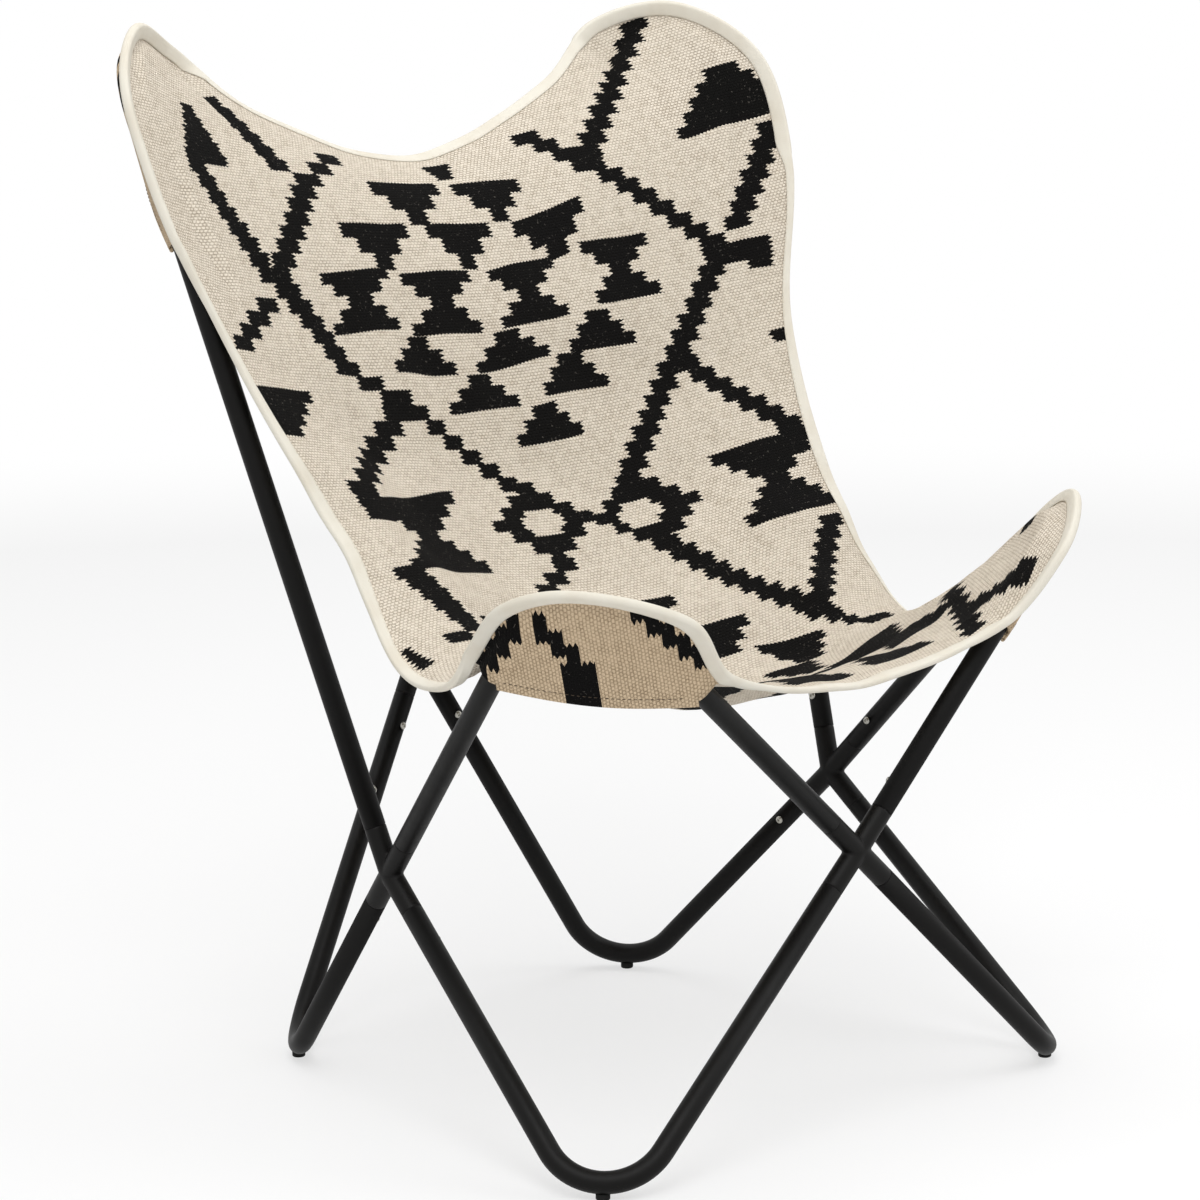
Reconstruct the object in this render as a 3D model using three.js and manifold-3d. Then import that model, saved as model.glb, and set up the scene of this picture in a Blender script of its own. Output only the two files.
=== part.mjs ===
// Butterfly sling chair: a knock-down steel tube frame that carries a woven sling in four corner pockets.
// Millimetres, +Z up. The front faces -Y; left (-X) and right (+X) are as seen from the front.
// Four V-shaped legs stand on the corners, four V-shaped loops rise over them, and four crosses,
// at mid front, mid back and mid sides, plug into the eight tubes and hold them together.

import * as THREE from 'three';
import { mergeVertices } from 'three/addons/utils/BufferGeometryUtils.js';
import Module from 'manifold-3d';

const wasm = await Module();
wasm.setup();

// Clearance between pieces that touch
const FIT_GAP = 0.3;

// Tubes: outside diameter, wall, and the centre-line radius of the bends
const TUBE_DIAMETER = 19;
const TUBE_WALL = 1.2;
const LEG_BEND_RADIUS = 54;
const LOOP_BEND_RADIUS = 60;

// Crosses: where the four tube axes of each cross meet
const FRONT_CROSS_Y = -280.2;
const FRONT_CROSS_Z = 246;
const BACK_CROSS_Y = 288.8;
const BACK_CROSS_Z = 336;
const SIDE_CROSS_X = 271;
const SIDE_CROSS_Y = 8.3;
const SIDE_CROSS_Z = 223;

// Crowns: the tube centre at the round end of each leg (on plan) and of each loop
const FRONT_LEG_X = 273;
const FRONT_LEG_Y = -258.2;
const BACK_LEG_X = 201;
const BACK_LEG_Y = 228.8;
const FRONT_LOOP_X = 290;
const FRONT_LOOP_Y = -245.2;
const FRONT_LOOP_Z = 486;
const BACK_LOOP_X = 318;
const BACK_LOOP_Y = 272.8;
const BACK_LOOP_Z = 906;

// Cross pieces: arm from the axis crossing to the seam, then a thinner spigot inside the tube
const CROSS_ARM = 42;
const CROSS_ROOT = 3;
const CROSS_CORE = 16;
const SPIGOT_LENGTH = 48;
const SPIGOT_WALL = 1.5;
const SPIGOT_LEAD = 1.5;

// Screws: one through each tube end into its spigot, on the side that faces the chair's middle
const SCREW_SETBACK = 30;
const SCREW_HEAD_DIAMETER = 7;
const SCREW_HEAD_HEIGHT = 2.4;
const SCREW_SHANK_DIAMETER = 4;
const SCREW_LENGTH = 9;
const SCREW_DOME = 0.75;

// Glides: plugs pressed into the lowest point of each leg
const GLIDE_HEIGHT = 4.5;
const GLIDE_DIAMETER = 12;
const GLIDE_CHAMFER = 1.5;
const GLIDE_COLLAR = 2.5;
const GLIDE_STEM_DIAMETER = 5;
const GLIDE_STEM_REACH = 3;

// Sling: cloth, folded edge binding, and the ease between cloth and tube
const CLOTH_THICKNESS = 1.8;
const BINDING_WIDTH = 12;
const BINDING_THICKNESS = 0.8;
const CLOTH_EASE = 1.8;
const SEAM_EASE = 0.6;
const BINDING_EASE = 0.95;

// Rim of the sling round a loop, each point as [across, beyond, inward]: towards the side cross,
// past the top of the crown, and off the loop's plane towards the sitter
const BACK_LOBE = [[-116, -94, 48], [-71, -22, 17], [4, 16, 13], [87, -24, 5], [128, -126, 6]];
const FRONT_LOBE = [[87, -44, 7], [55, 2, -1], [3, 20, -8], [-92, -22, -8], [-118, -102, 1]];
const BACK_LOBE_TIP = 2;
const FRONT_LOBE_TIP = 2;

// Side rim between the lobes, each point as [share of the chord, inward, backward, drop]
const SIDE_HANG = [[0.3, 29, 54, 41], [0.58, 50, 58, 101], [0.8, 32, 42, 117]];

// Middle of the back rim and of the front rim, off the straight line between the lobes
const BACK_RIM_DIP = 52;
const BACK_RIM_FORWARD = 9;
const FRONT_RIM_DIP = 31;
const FRONT_RIM_BACKWARD = 15;

// Seat: how far the cloth is held above the surface that its four edges span, and where along it
const SEAT_RISE = 62;
const SEAT_PLACE = 2.3;

// Flange: from a tube, how far the rim may be for the cloth to stand straight out, and to hang free of it
const FLANGE_NEAR = 53;
const FLANGE_FAR = 70;
const PAST_POCKET_HOLD = 0.18;

// Pockets: length of the sewn rim from the tip down each edge, and the hem
const BACK_POCKET_SIDE = 240;
const BACK_POCKET_EDGE = 145;
const FRONT_POCKET_SIDE = 150;
const FRONT_POCKET_EDGE = 215;
const POCKET_LEAVE = 1.2;
const BACK_HEM_DROP = 3;
const FRONT_HEM_DROP = 6;
const BACK_HEM_BOW = 14;
const FRONT_HEM_BOW = 9;

// Facets, and passes of the rules that settle by repeating
const TUBE_SIDES = 12;
const BEND_STEPS = 7;
const SCREW_SIDES = 8;
const GLIDE_SIDES = 16;
const SPOKES = 72;
const OVER_TUBE_ROWS = [20, 29];
const PAST_TUBE_ROW = 42;
const PAST_TUBE = 16;
const MIDDLE_RINGS = [0.76, 0.52, 0.26];
const PROBE_DEPTH = 0.4;
const PROBE_STEPS = 40;
const LATEST_TOUCH = THREE.MathUtils.degToRad(78);
const LEAVE_SHARE = 0.6;
const ARC_SAMPLES = 60;
const WRAP_STEPS = 4;
const CROSS_TOLERANCE = 0.05;
const APRON_STEPS = 3;
const SETTLE_PASSES = 60;

// Worked out from the sizes above
const TUBE_RADIUS = TUBE_DIAMETER / 2;
const BORE_RADIUS = TUBE_RADIUS - TUBE_WALL;
const SPIGOT_RADIUS = BORE_RADIUS - FIT_GAP;
const SEAM = CROSS_ARM + FIT_GAP;
const LEG_CENTRE_HEIGHT = GLIDE_HEIGHT + FIT_GAP + TUBE_RADIUS;
const CLOTH_OFF_TUBE = TUBE_RADIUS + FIT_GAP + CLOTH_EASE + CLOTH_THICKNESS / 2;
const SEAM_OFF_TUBE = CLOTH_OFF_TUBE + BINDING_WIDTH / 2;
const POCKET_DEPTH = CLOTH_THICKNESS + SEAM_EASE;
const UP = new THREE.Vector3(0, 0, 1);

const steel = new THREE.MeshStandardMaterial({ color: 0x191816, roughness: 0.5, metalness: 0.35 });
const zinc = new THREE.MeshStandardMaterial({ color: 0xb9bab4, roughness: 0.35, metalness: 0.9 });
const rubber = new THREE.MeshStandardMaterial({ color: 0x141414, roughness: 0.8, metalness: 0 });
const kilim = new THREE.MeshStandardMaterial({ color: 0xd9cdb9, roughness: 0.95, metalness: 0 });
const canvas = new THREE.MeshStandardMaterial({ color: 0xe0dccd, roughness: 0.9, metalness: 0 });

const chair = new THREE.Group();

function addPiece(name, geometry, material) {
  const piece = new THREE.Mesh(geometry, material);
  piece.name = name;
  chair.add(piece);
}

// Solids for cutting and joining

function solidOf(geometry) {
  const bare = geometry.clone();
  bare.deleteAttribute('normal');
  bare.deleteAttribute('uv');
  const merged = mergeVertices(bare);
  const vertProperties = new Float32Array(merged.attributes.position.array);
  const triVerts = new Uint32Array(merged.index.array);
  return new wasm.Manifold(new wasm.Mesh({ numProp: 3, vertProperties, triVerts }));
}

function geometryOf(solid) {
  const mesh = solid.getMesh();
  const geometry = new THREE.BufferGeometry();
  geometry.setAttribute('position', new THREE.BufferAttribute(new Float32Array(mesh.vertProperties), 3));
  geometry.setIndex(new THREE.BufferAttribute(new Uint32Array(mesh.triVerts), 1));
  geometry.computeVertexNormals();
  return geometry;
}

// A turned piece: its profile is [radius, height] pairs, and its axis runs from `base` along `axis`
function turned(profile, sides, base, axis) {
  const points = profile.map(([radius, height]) => new THREE.Vector2(radius, height));
  const lathe = new THREE.LatheGeometry(points, sides);
  lathe.applyQuaternion(new THREE.Quaternion().setFromUnitVectors(new THREE.Vector3(0, 1, 0), axis));
  lathe.translate(base.x, base.y, base.z);
  return lathe;
}

function rod(radius, from, to, sides, base, axis) {
  return turned([[0, from], [radius, from], [radius, to], [0, to]], sides, base, axis);
}

// A bent V: two straight legs from `sideEnd` and `middleEnd` that meet in one round bend at `crown`.
// The virtual corner of the legs is found by repeating the fillet rule until it settles.
function bentV(sideEnd, middleEnd, crown, radius) {
  const corner = crown.clone();
  const toSide = new THREE.Vector3();
  const toMiddle = new THREE.Vector3();
  const up = new THREE.Vector3();
  let half = 0;
  for (let pass = 0; pass < SETTLE_PASSES; pass += 1) {
    toSide.subVectors(sideEnd, corner).normalize();
    toMiddle.subVectors(middleEnd, corner).normalize();
    half = toSide.angleTo(toMiddle) / 2;
    up.addVectors(toSide, toMiddle).normalize().negate();
    corner.copy(crown).addScaledVector(up, radius / Math.sin(half) - radius);
  }
  const across = new THREE.Vector3().subVectors(toSide, toMiddle).normalize();
  const inward = new THREE.Vector3().crossVectors(up, across);
  if (inward.dot(crown) > 0) inward.negate();
  const centre = crown.clone().addScaledVector(up, -radius);
  return { sideEnd, middleEnd, crown, radius, corner, toSide, toMiddle, half, up, across, inward, centre };
}

function bendPoint(bent, angle) {
  return bent.centre.clone()
    .addScaledVector(bent.up, bent.radius * Math.cos(angle))
    .addScaledVector(bent.across, bent.radius * Math.sin(angle));
}

// Centre line of a bent V, with one station at each straight end and even stations round the bend
class BentPath extends THREE.Curve {
  constructor(bent, setback) {
    super();
    this.points = [bent.sideEnd.clone().addScaledVector(bent.toSide, -setback)];
    this.tangents = [bent.toSide.clone().negate()];
    const sweep = Math.PI / 2 - bent.half;
    for (let step = 0; step <= BEND_STEPS; step += 1) {
      const angle = sweep * (1 - (2 * step) / BEND_STEPS);
      this.points.push(bendPoint(bent, angle));
      const along = bent.up.clone().multiplyScalar(Math.sin(angle));
      this.tangents.push(along.addScaledVector(bent.across, -Math.cos(angle)));
    }
    this.points.push(bent.middleEnd.clone().addScaledVector(bent.toMiddle, -setback));
    this.tangents.push(bent.toMiddle.clone());
  }

  get steps() {
    return this.points.length - 1;
  }

  getPointAt(share) {
    return this.points[Math.round(share * this.steps)].clone();
  }

  getTangentAt(share) {
    return this.tangents[Math.round(share * this.steps)].clone();
  }
}

function circleShape(radius) {
  const points = [];
  for (let side = 0; side < TUBE_SIDES; side += 1) {
    const angle = (2 * Math.PI * side) / TUBE_SIDES;
    points.push(new THREE.Vector2(radius * Math.cos(angle), radius * Math.sin(angle)));
  }
  return new THREE.Shape(points);
}

function sweepAlong(shape, path) {
  return new THREE.ExtrudeGeometry(shape, { steps: path.steps, bevelEnabled: false, extrudePath: path });
}

// Frame: crosses and bent tubes

const mirrorX = (point) => new THREE.Vector3(-point.x, point.y, point.z);
const frontCross = new THREE.Vector3(0, FRONT_CROSS_Y, FRONT_CROSS_Z);
const backCross = new THREE.Vector3(0, BACK_CROSS_Y, BACK_CROSS_Z);
const leftCross = new THREE.Vector3(-SIDE_CROSS_X, SIDE_CROSS_Y, SIDE_CROSS_Z);
const rightCross = mirrorX(leftCross);

// The crown of a leg is raised or lowered until the lowest point of its bend stands on the glide
function legV(sideEnd, middleEnd, x, y) {
  const crown = new THREE.Vector3(x, y, LEG_CENTRE_HEIGHT);
  let bent = bentV(sideEnd, middleEnd, crown, LEG_BEND_RADIUS);
  for (let pass = 0; pass < SETTLE_PASSES; pass += 1) {
    crown.z += LEG_CENTRE_HEIGHT - lowestPoint(bent).z;
    bent = bentV(sideEnd, middleEnd, crown.clone(), LEG_BEND_RADIUS);
  }
  return bent;
}

function lowestPoint(bent) {
  return bendPoint(bent, Math.atan2(bent.across.z, bent.up.z) + (bent.up.z < 0 ? Math.PI : 0));
}

const tubes = {};
for (const [side, sign, sideCross] of [['left', -1, leftCross], ['right', 1, rightCross]]) {
  const frontLoop = new THREE.Vector3(sign * FRONT_LOOP_X, FRONT_LOOP_Y, FRONT_LOOP_Z);
  const backLoop = new THREE.Vector3(sign * BACK_LOOP_X, BACK_LOOP_Y, BACK_LOOP_Z);
  tubes[`leg_front_${side}`] = legV(sideCross, frontCross, sign * FRONT_LEG_X, FRONT_LEG_Y);
  tubes[`leg_back_${side}`] = legV(sideCross, backCross, sign * BACK_LEG_X, BACK_LEG_Y);
  tubes[`loop_front_${side}`] = bentV(sideCross, frontCross, frontLoop, LOOP_BEND_RADIUS);
  tubes[`loop_back_${side}`] = bentV(sideCross, backCross, backLoop, LOOP_BEND_RADIUS);
}

// Screw at one tube end: its seat on the tube and the way that it points into the tube
function screwPlace(cross, towardsCross) {
  const onAxis = cross.clone().addScaledVector(towardsCross, -(SEAM + SCREW_SETBACK));
  const outward = new THREE.Vector3(-onAxis.x, -onAxis.y, 0);
  outward.addScaledVector(towardsCross, -outward.dot(towardsCross)).normalize();
  return { onAxis, outward };
}

function screwHole(place) {
  const radius = SCREW_SHANK_DIAMETER / 2 + FIT_GAP;
  return solidOf(rod(radius, 0, TUBE_DIAMETER, SCREW_SIDES, place.onAxis, place.outward));
}

const screwPlaces = {};
for (const [name, bent] of Object.entries(tubes)) {
  screwPlaces[`${name}_side`] = screwPlace(bent.sideEnd, bent.toSide);
  screwPlaces[`${name}_middle`] = screwPlace(bent.middleEnd, bent.toMiddle);
}

// Glide: a chamfered cap saddled to the tube, with a stem through the tube wall
function glideSolid(bent, path) {
  const low = lowestPoint(bent);
  const floor = new THREE.Vector3(low.x, low.y, 0);
  const radius = GLIDE_DIAMETER / 2;
  const top = GLIDE_HEIGHT + GLIDE_COLLAR;
  const profile = [[0, 0], [radius - GLIDE_CHAMFER, 0], [radius, GLIDE_CHAMFER], [radius, top], [0, top]];
  const saddle = solidOf(sweepAlong(circleShape(TUBE_RADIUS + FIT_GAP), path));
  const cap = solidOf(turned(profile, GLIDE_SIDES, floor, UP)).subtract(saddle);
  const stemTop = low.z - BORE_RADIUS + GLIDE_STEM_REACH;
  return cap.add(solidOf(rod(GLIDE_STEM_DIAMETER / 2, GLIDE_CHAMFER, stemTop, SCREW_SIDES, floor, UP)));
}

function glideHole(bent) {
  const low = lowestPoint(bent);
  const floor = new THREE.Vector3(low.x, low.y, 0);
  return solidOf(rod(GLIDE_STEM_DIAMETER / 2 + FIT_GAP, 0, low.z, SCREW_SIDES, floor, UP));
}

for (const [name, bent] of Object.entries(tubes)) {
  const path = new BentPath(bent, SEAM);
  const ring = circleShape(TUBE_RADIUS);
  ring.holes.push(new THREE.Path(circleShape(BORE_RADIUS).getPoints()));
  let tube = solidOf(sweepAlong(ring, path));
  tube = tube.subtract(screwHole(screwPlaces[`${name}_side`]));
  tube = tube.subtract(screwHole(screwPlaces[`${name}_middle`]));
  if (name.startsWith('leg')) {
    tube = tube.subtract(glideHole(bent));
    addPiece(name.replace('leg', 'glide'), geometryOf(glideSolid(bent, path)), rubber);
  }
  addPiece(name, geometryOf(tube), steel);
}

// Cross: four arms welded at their axes' meeting point, bored through, each ending in a spigot
function crossSolid(centre, arms) {
  const end = CROSS_ARM + SPIGOT_LENGTH;
  const profile = [
    [0, -CROSS_ROOT], [TUBE_RADIUS, -CROSS_ROOT], [TUBE_RADIUS, CROSS_ARM], [SPIGOT_RADIUS, CROSS_ARM],
    [SPIGOT_RADIUS, end - SPIGOT_LEAD], [SPIGOT_RADIUS - SPIGOT_LEAD / 2, end], [0, end],
  ];
  let outside = null;
  let inside = null;
  for (const { direction } of arms) {
    const arm = solidOf(turned(profile, TUBE_SIDES, centre, direction));
    const boreRadius = SPIGOT_RADIUS - SPIGOT_WALL;
    const bore = solidOf(rod(boreRadius, CROSS_CORE, end + SPIGOT_LEAD, TUBE_SIDES, centre, direction));
    outside = outside ? outside.add(arm) : arm;
    inside = inside ? inside.add(bore) : bore;
  }
  let solid = outside.subtract(inside);
  for (const { screw } of arms) solid = solid.subtract(screwHole(screw));
  return solid.simplify(CROSS_TOLERANCE);
}

const crosses = { front: frontCross, back: backCross, left: leftCross, right: rightCross };
for (const [name, centre] of Object.entries(crosses)) {
  const arms = [];
  for (const [tubeName, bent] of Object.entries(tubes)) {
    if (bent.sideEnd === centre) {
      arms.push({ direction: bent.toSide.clone().negate(), screw: screwPlaces[`${tubeName}_side`] });
    }
    if (bent.middleEnd === centre) {
      arms.push({ direction: bent.toMiddle.clone().negate(), screw: screwPlaces[`${tubeName}_middle`] });
    }
  }
  addPiece(`cross_${name}`, geometryOf(crossSolid(centre, arms)), steel);
}

// Screws: domed head on the tube, shank through the tube wall and the spigot wall
for (const [name, place] of Object.entries(screwPlaces)) {
  const seat = TUBE_RADIUS + FIT_GAP;
  const head = SCREW_HEAD_DIAMETER / 2;
  const shank = SCREW_SHANK_DIAMETER / 2;
  const profile = [
    [0, seat - SCREW_LENGTH], [shank, seat - SCREW_LENGTH], [shank, seat], [head, seat],
    [SCREW_DOME * head, seat + SCREW_DOME * SCREW_HEAD_HEIGHT], [0, seat + SCREW_HEAD_HEIGHT],
  ];
  addPiece(`screw_${name}`, turned(profile, SCREW_SIDES, place.onAxis, place.outward), zinc);
}

// Sling rim: one closed smooth curve over the four lobes, left half given, right half mirrored

function lobePoint(loop, [across, beyond, inward]) {
  return loop.crown.clone()
    .addScaledVector(loop.across, across)
    .addScaledVector(loop.up, TUBE_RADIUS + beyond)
    .addScaledVector(loop.inward, inward);
}

const backLobe = BACK_LOBE.map((place) => lobePoint(tubes.loop_back_left, place));
const frontLobe = FRONT_LOBE.map((place) => lobePoint(tubes.loop_front_left, place));
const sideRim = SIDE_HANG.map(([share, inward, backward, drop]) => backLobe.at(-1).clone()
  .lerp(frontLobe[0], share)
  .add(new THREE.Vector3(inward, backward, -drop)));
const backMiddle = new THREE.Vector3(0, backLobe[0].y - BACK_RIM_FORWARD, backLobe[0].z - BACK_RIM_DIP);
const frontEnd = frontLobe.at(-1);
const frontMiddle = new THREE.Vector3(0, frontEnd.y + FRONT_RIM_BACKWARD, frontEnd.z - FRONT_RIM_DIP);
const leftRim = [...backLobe, ...sideRim, ...frontLobe];
const rightRim = leftRim.map(mirrorX).reverse();
const rim = new THREE.CatmullRomCurve3([backMiddle, ...leftRim, frontMiddle, ...rightRim], true, 'centripetal');
rim.arcLengthDivisions = rim.points.length * ARC_SAMPLES;
const rimLengths = rim.getLengths();
const rimLength = rimLengths.at(-1);

// Rim length at a point of the list above: the tips part the rim into its back, side and front edges
const lengthAt = (index) => rimLengths[index * ARC_SAMPLES];
const backTip = lengthAt(1 + BACK_LOBE_TIP);
const frontTip = lengthAt(1 + backLobe.length + sideRim.length + FRONT_LOBE_TIP);
const pointAtLength = (length) => rim.getPointAt((((length / rimLength) % 1) + 1) % 1);

// Edges of the sling, u from left (-1) to right (1) and v from front (-1) to back (1)
const backEdge = (u) => pointAtLength(-u * backTip);
const frontEdge = (u) => pointAtLength(rimLength / 2 + u * (rimLength / 2 - frontTip));
const leftEdge = (v) => pointAtLength(THREE.MathUtils.mapLinear(v, 1, -1, backTip, frontTip));
const rightEdge = (v) => mirrorX(leftEdge(v));
const corners = [[-1, -1, leftEdge(-1)], [1, -1, rightEdge(-1)], [-1, 1, leftEdge(1)], [1, 1, rightEdge(1)]];

// The cloth spans its four edges, and sits higher than that span where the seat carries the sitter
function spanned(u, v) {
  const point = new THREE.Vector3();
  point.addScaledVector(backEdge(u), (1 + v) / 2).addScaledVector(frontEdge(u), (1 - v) / 2);
  point.addScaledVector(leftEdge(v), (1 - u) / 2).addScaledVector(rightEdge(v), (1 + u) / 2);
  for (const [cornerU, cornerV, corner] of corners) {
    point.addScaledVector(corner, -((1 + u * cornerU) * (1 + v * cornerV)) / 4);
  }
  const rise = Math.sin(Math.PI * ((1 - v) / 2) ** SEAT_PLACE) ** 2;
  point.z += SEAT_RISE * (1 - u ** 4) * rise;
  return point;
}

// Where a point lies off a loop: the foot on its tube's centre line, how far outside it, how far inward
function offLoop(loop, point) {
  const from = point.clone().sub(loop.centre);
  const a = from.dot(loop.across);
  const b = from.dot(loop.up);
  const sweep = Math.PI / 2 - loop.half;
  const angle = Math.max(-sweep, Math.min(sweep, Math.atan2(a, b)));
  const radial = loop.up.clone().multiplyScalar(Math.cos(angle));
  radial.addScaledVector(loop.across, Math.sin(angle));
  const outside = from.dot(radial) - loop.radius;
  const inward = from.dot(loop.inward);
  const foot = point.clone().addScaledVector(radial, -outside).addScaledVector(loop.inward, -inward);
  return { foot, radial, outside, inward };
}

const loops = Object.entries(tubes).filter(([name]) => name.startsWith('loop')).map(([, bent]) => bent);

// Cloth that would cut a loop lies over it instead
function draped(u, v) {
  const point = spanned(u, v);
  for (const loop of loops) {
    const { outside, inward } = offLoop(loop, point);
    const past = Math.max(outside, 0) / SEAM_OFF_TUBE;
    const lift = CLOTH_OFF_TUBE * (1 - past * past) - inward;
    const eased = (lift + Math.hypot(lift, CLOTH_EASE)) / 2;
    point.addScaledVector(loop.inward, eased);
  }
  return point;
}

// A disc laid on the square of u and v, so that rings of points run beside the rim, also round the tips
function discToSquare(radius, angle) {
  const x = radius * Math.cos(angle);
  const y = radius * Math.sin(angle);
  const root = (value) => Math.sqrt(Math.max(value, 0));
  const wide = 2 + x * x - y * y;
  const tall = 2 - x * x + y * y;
  const stretch = 2 * Math.SQRT2;
  const u = (root(wide + stretch * x) - root(wide - stretch * x)) / 2;
  const v = (root(tall + stretch * y) - root(tall - stretch * y)) / 2;
  return [THREE.MathUtils.clamp(u, -1, 1), THREE.MathUtils.clamp(v, -1, 1)];
}

const onSling = (radius, spoke) => draped(...discToSquare(radius, (2 * Math.PI * spoke) / SPOKES));

// A sheet of triangles given its thickness: two skins and a wall along each free edge
function thicken(points, faces, thickness) {
  const sheet = new THREE.BufferGeometry().setFromPoints(points);
  sheet.setIndex(faces.flat());
  sheet.computeVertexNormals();
  const normals = points.map((_, i) => new THREE.Vector3().fromBufferAttribute(sheet.attributes.normal, i));
  const count = points.length;
  const front = points.map((point, i) => point.clone().addScaledVector(normals[i], thickness / 2));
  const back = points.map((point, i) => point.clone().addScaledVector(normals[i], -thickness / 2));
  const edges = new Set();
  for (const [a, b, c] of faces) {
    edges.add(`${a},${b}`);
    edges.add(`${b},${c}`);
    edges.add(`${c},${a}`);
  }
  const shell = faces.flatMap(([a, b, c]) => [a, b, c, c + count, b + count, a + count]);
  for (const edge of edges) {
    const [a, b] = edge.split(',').map(Number);
    const wall = [];
    stitch(wall, b, a, a + count, b + count, points[a].x + points[b].x > 0);
    if (!edges.has(`${b},${a}`)) shell.push(...wall.flat());
  }
  const geometry = new THREE.BufferGeometry().setFromPoints([...front, ...back]);
  geometry.setIndex(shell);
  geometry.computeVertexNormals();
  return { geometry, normals };
}

// Two triangles that fill the corners a, b, c and d; `flip` picks the other diagonal
function stitch(faces, a, b, c, d, flip) {
  if (flip) faces.push([a, b, d], [b, c, d]);
  else faces.push([a, b, c], [a, c, d]);
}

// Diagonals on the right half mirror those on the left
const onRight = (spoke) => spoke < SPOKES / 4 || spoke >= (3 * SPOKES) / 4;

// Rows of the panel beside the rim: free cloth follows the sling, and cloth close to a loop stands straight
// out from the tube in the binding and wraps the tube's inner side

const everySpoke = Array.from({ length: SPOKES }, (_, spoke) => spoke);
const rimPoints = everySpoke.map((spoke) => onSling(1, spoke));

// Length of cloth along each spoke, from the rim to even steps of the disc's radius
const spokeLengths = everySpoke.map((spoke) => {
  const lengths = [0];
  let last = rimPoints[spoke];
  for (let step = 1; step <= PROBE_STEPS; step += 1) {
    const point = onSling(1 - (PROBE_DEPTH * step) / PROBE_STEPS, spoke);
    lengths.push(lengths.at(-1) + point.distanceTo(last));
    last = point;
  }
  return lengths;
});

function radiusAt(spoke, distance) {
  const lengths = spokeLengths[spoke];
  const step = lengths.findIndex((length) => length > distance);
  const share = (distance - lengths[step - 1]) / (lengths[step] - lengths[step - 1]);
  return 1 - (PROBE_DEPTH * (step - 1 + share)) / PROBE_STEPS;
}

// Radius on a spoke where the cloth is well past a loop's tube
function radiusPast(loop, spoke) {
  let before = offLoop(loop, rimPoints[spoke]).outside;
  for (let step = 1; step <= PROBE_STEPS; step += 1) {
    const { outside } = offLoop(loop, onSling(1 - (PROBE_DEPTH * step) / PROBE_STEPS, spoke));
    const share = (before + PAST_TUBE) / (before - outside);
    if (outside < -PAST_TUBE) return 1 - (PROBE_DEPTH * (step - 1 + share)) / PROBE_STEPS;
    before = outside;
  }
  return 1 - PROBE_DEPTH;
}

function flangeAt(loop, spoke) {
  const { foot, radial, outside, inward } = offLoop(loop, rimPoints[spoke]);
  const reach = Math.hypot(outside, inward);
  const lean = Math.atan2(inward, outside);
  const place = (distance, angle) => foot.clone()
    .addScaledVector(radial, distance * Math.cos(angle))
    .addScaledVector(loop.inward, distance * Math.sin(angle));
  const line = Math.max(reach - BINDING_WIDTH, CLOTH_OFF_TUBE);
  const touch = Math.min(lean + Math.acos(CLOTH_OFF_TUBE / line), LATEST_TOUCH);
  const leave = THREE.MathUtils.lerp(touch, Math.PI / 2, LEAVE_SHARE);
  const hold = 1 - THREE.MathUtils.smoothstep(reach, FLANGE_NEAR, FLANGE_FAR);
  const outer = radial.clone().multiplyScalar(Math.sin(lean)).addScaledVector(loop.inward, -Math.cos(lean));
  const panelRows = [place(line, lean), place(CLOTH_OFF_TUBE, touch), place(CLOTH_OFF_TUBE, leave)];
  const pocketRow = place(line - POCKET_LEAVE, lean).addScaledVector(outer, POCKET_DEPTH);
  return { hold, panelRows, pocketRow, past: radiusPast(loop, spoke) };
}

// Pockets: for each, the spokes of the rim from one hem end over the tip to the other

function pocketSpokes(tipSpoke, before, after) {
  const spokes = [tipSpoke];
  for (const [limit, turn] of [[before, -1], [after, 1]]) {
    let length = 0;
    let spoke = tipSpoke;
    for (let count = 1; count < SPOKES / 4; count += 1) {
      const next = (spoke + turn + SPOKES) % SPOKES;
      length += rimPoints[spoke].distanceTo(rimPoints[next]);
      if (length > limit) break;
      if (turn < 0) spokes.unshift(next);
      else spokes.push(next);
      spoke = next;
    }
  }
  return spokes;
}

const eighth = SPOKES / 8;
const backHem = { drop: BACK_HEM_DROP, bow: BACK_HEM_BOW };
const frontHem = { drop: FRONT_HEM_DROP, bow: FRONT_HEM_BOW };
const pockets = [
  ['back_right', eighth, BACK_POCKET_SIDE, BACK_POCKET_EDGE, backHem],
  ['back_left', 3 * eighth, BACK_POCKET_EDGE, BACK_POCKET_SIDE, backHem],
  ['front_left', 5 * eighth, FRONT_POCKET_SIDE, FRONT_POCKET_EDGE, frontHem],
  ['front_right', 7 * eighth, FRONT_POCKET_EDGE, FRONT_POCKET_SIDE, frontHem],
].map(([name, tip, before, after, hem]) => ({ name, hem, spokes: pocketSpokes(tip, before, after) }));
const pocketed = new Set(pockets.flatMap(({ spokes }) => spokes));
const flanges = {};
for (const { name, spokes } of pockets) {
  const before = (spokes[0] - 1 + SPOKES) % SPOKES;
  const after = (spokes.at(-1) + 1) % SPOKES;
  for (const spoke of [before, ...spokes, after]) {
    flanges[spoke] = flangeAt(tubes[`loop_${name}`], spoke);
    if (!pocketed.has(spoke)) flanges[spoke].hold *= PAST_POCKET_HOLD;
  }
}

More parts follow.
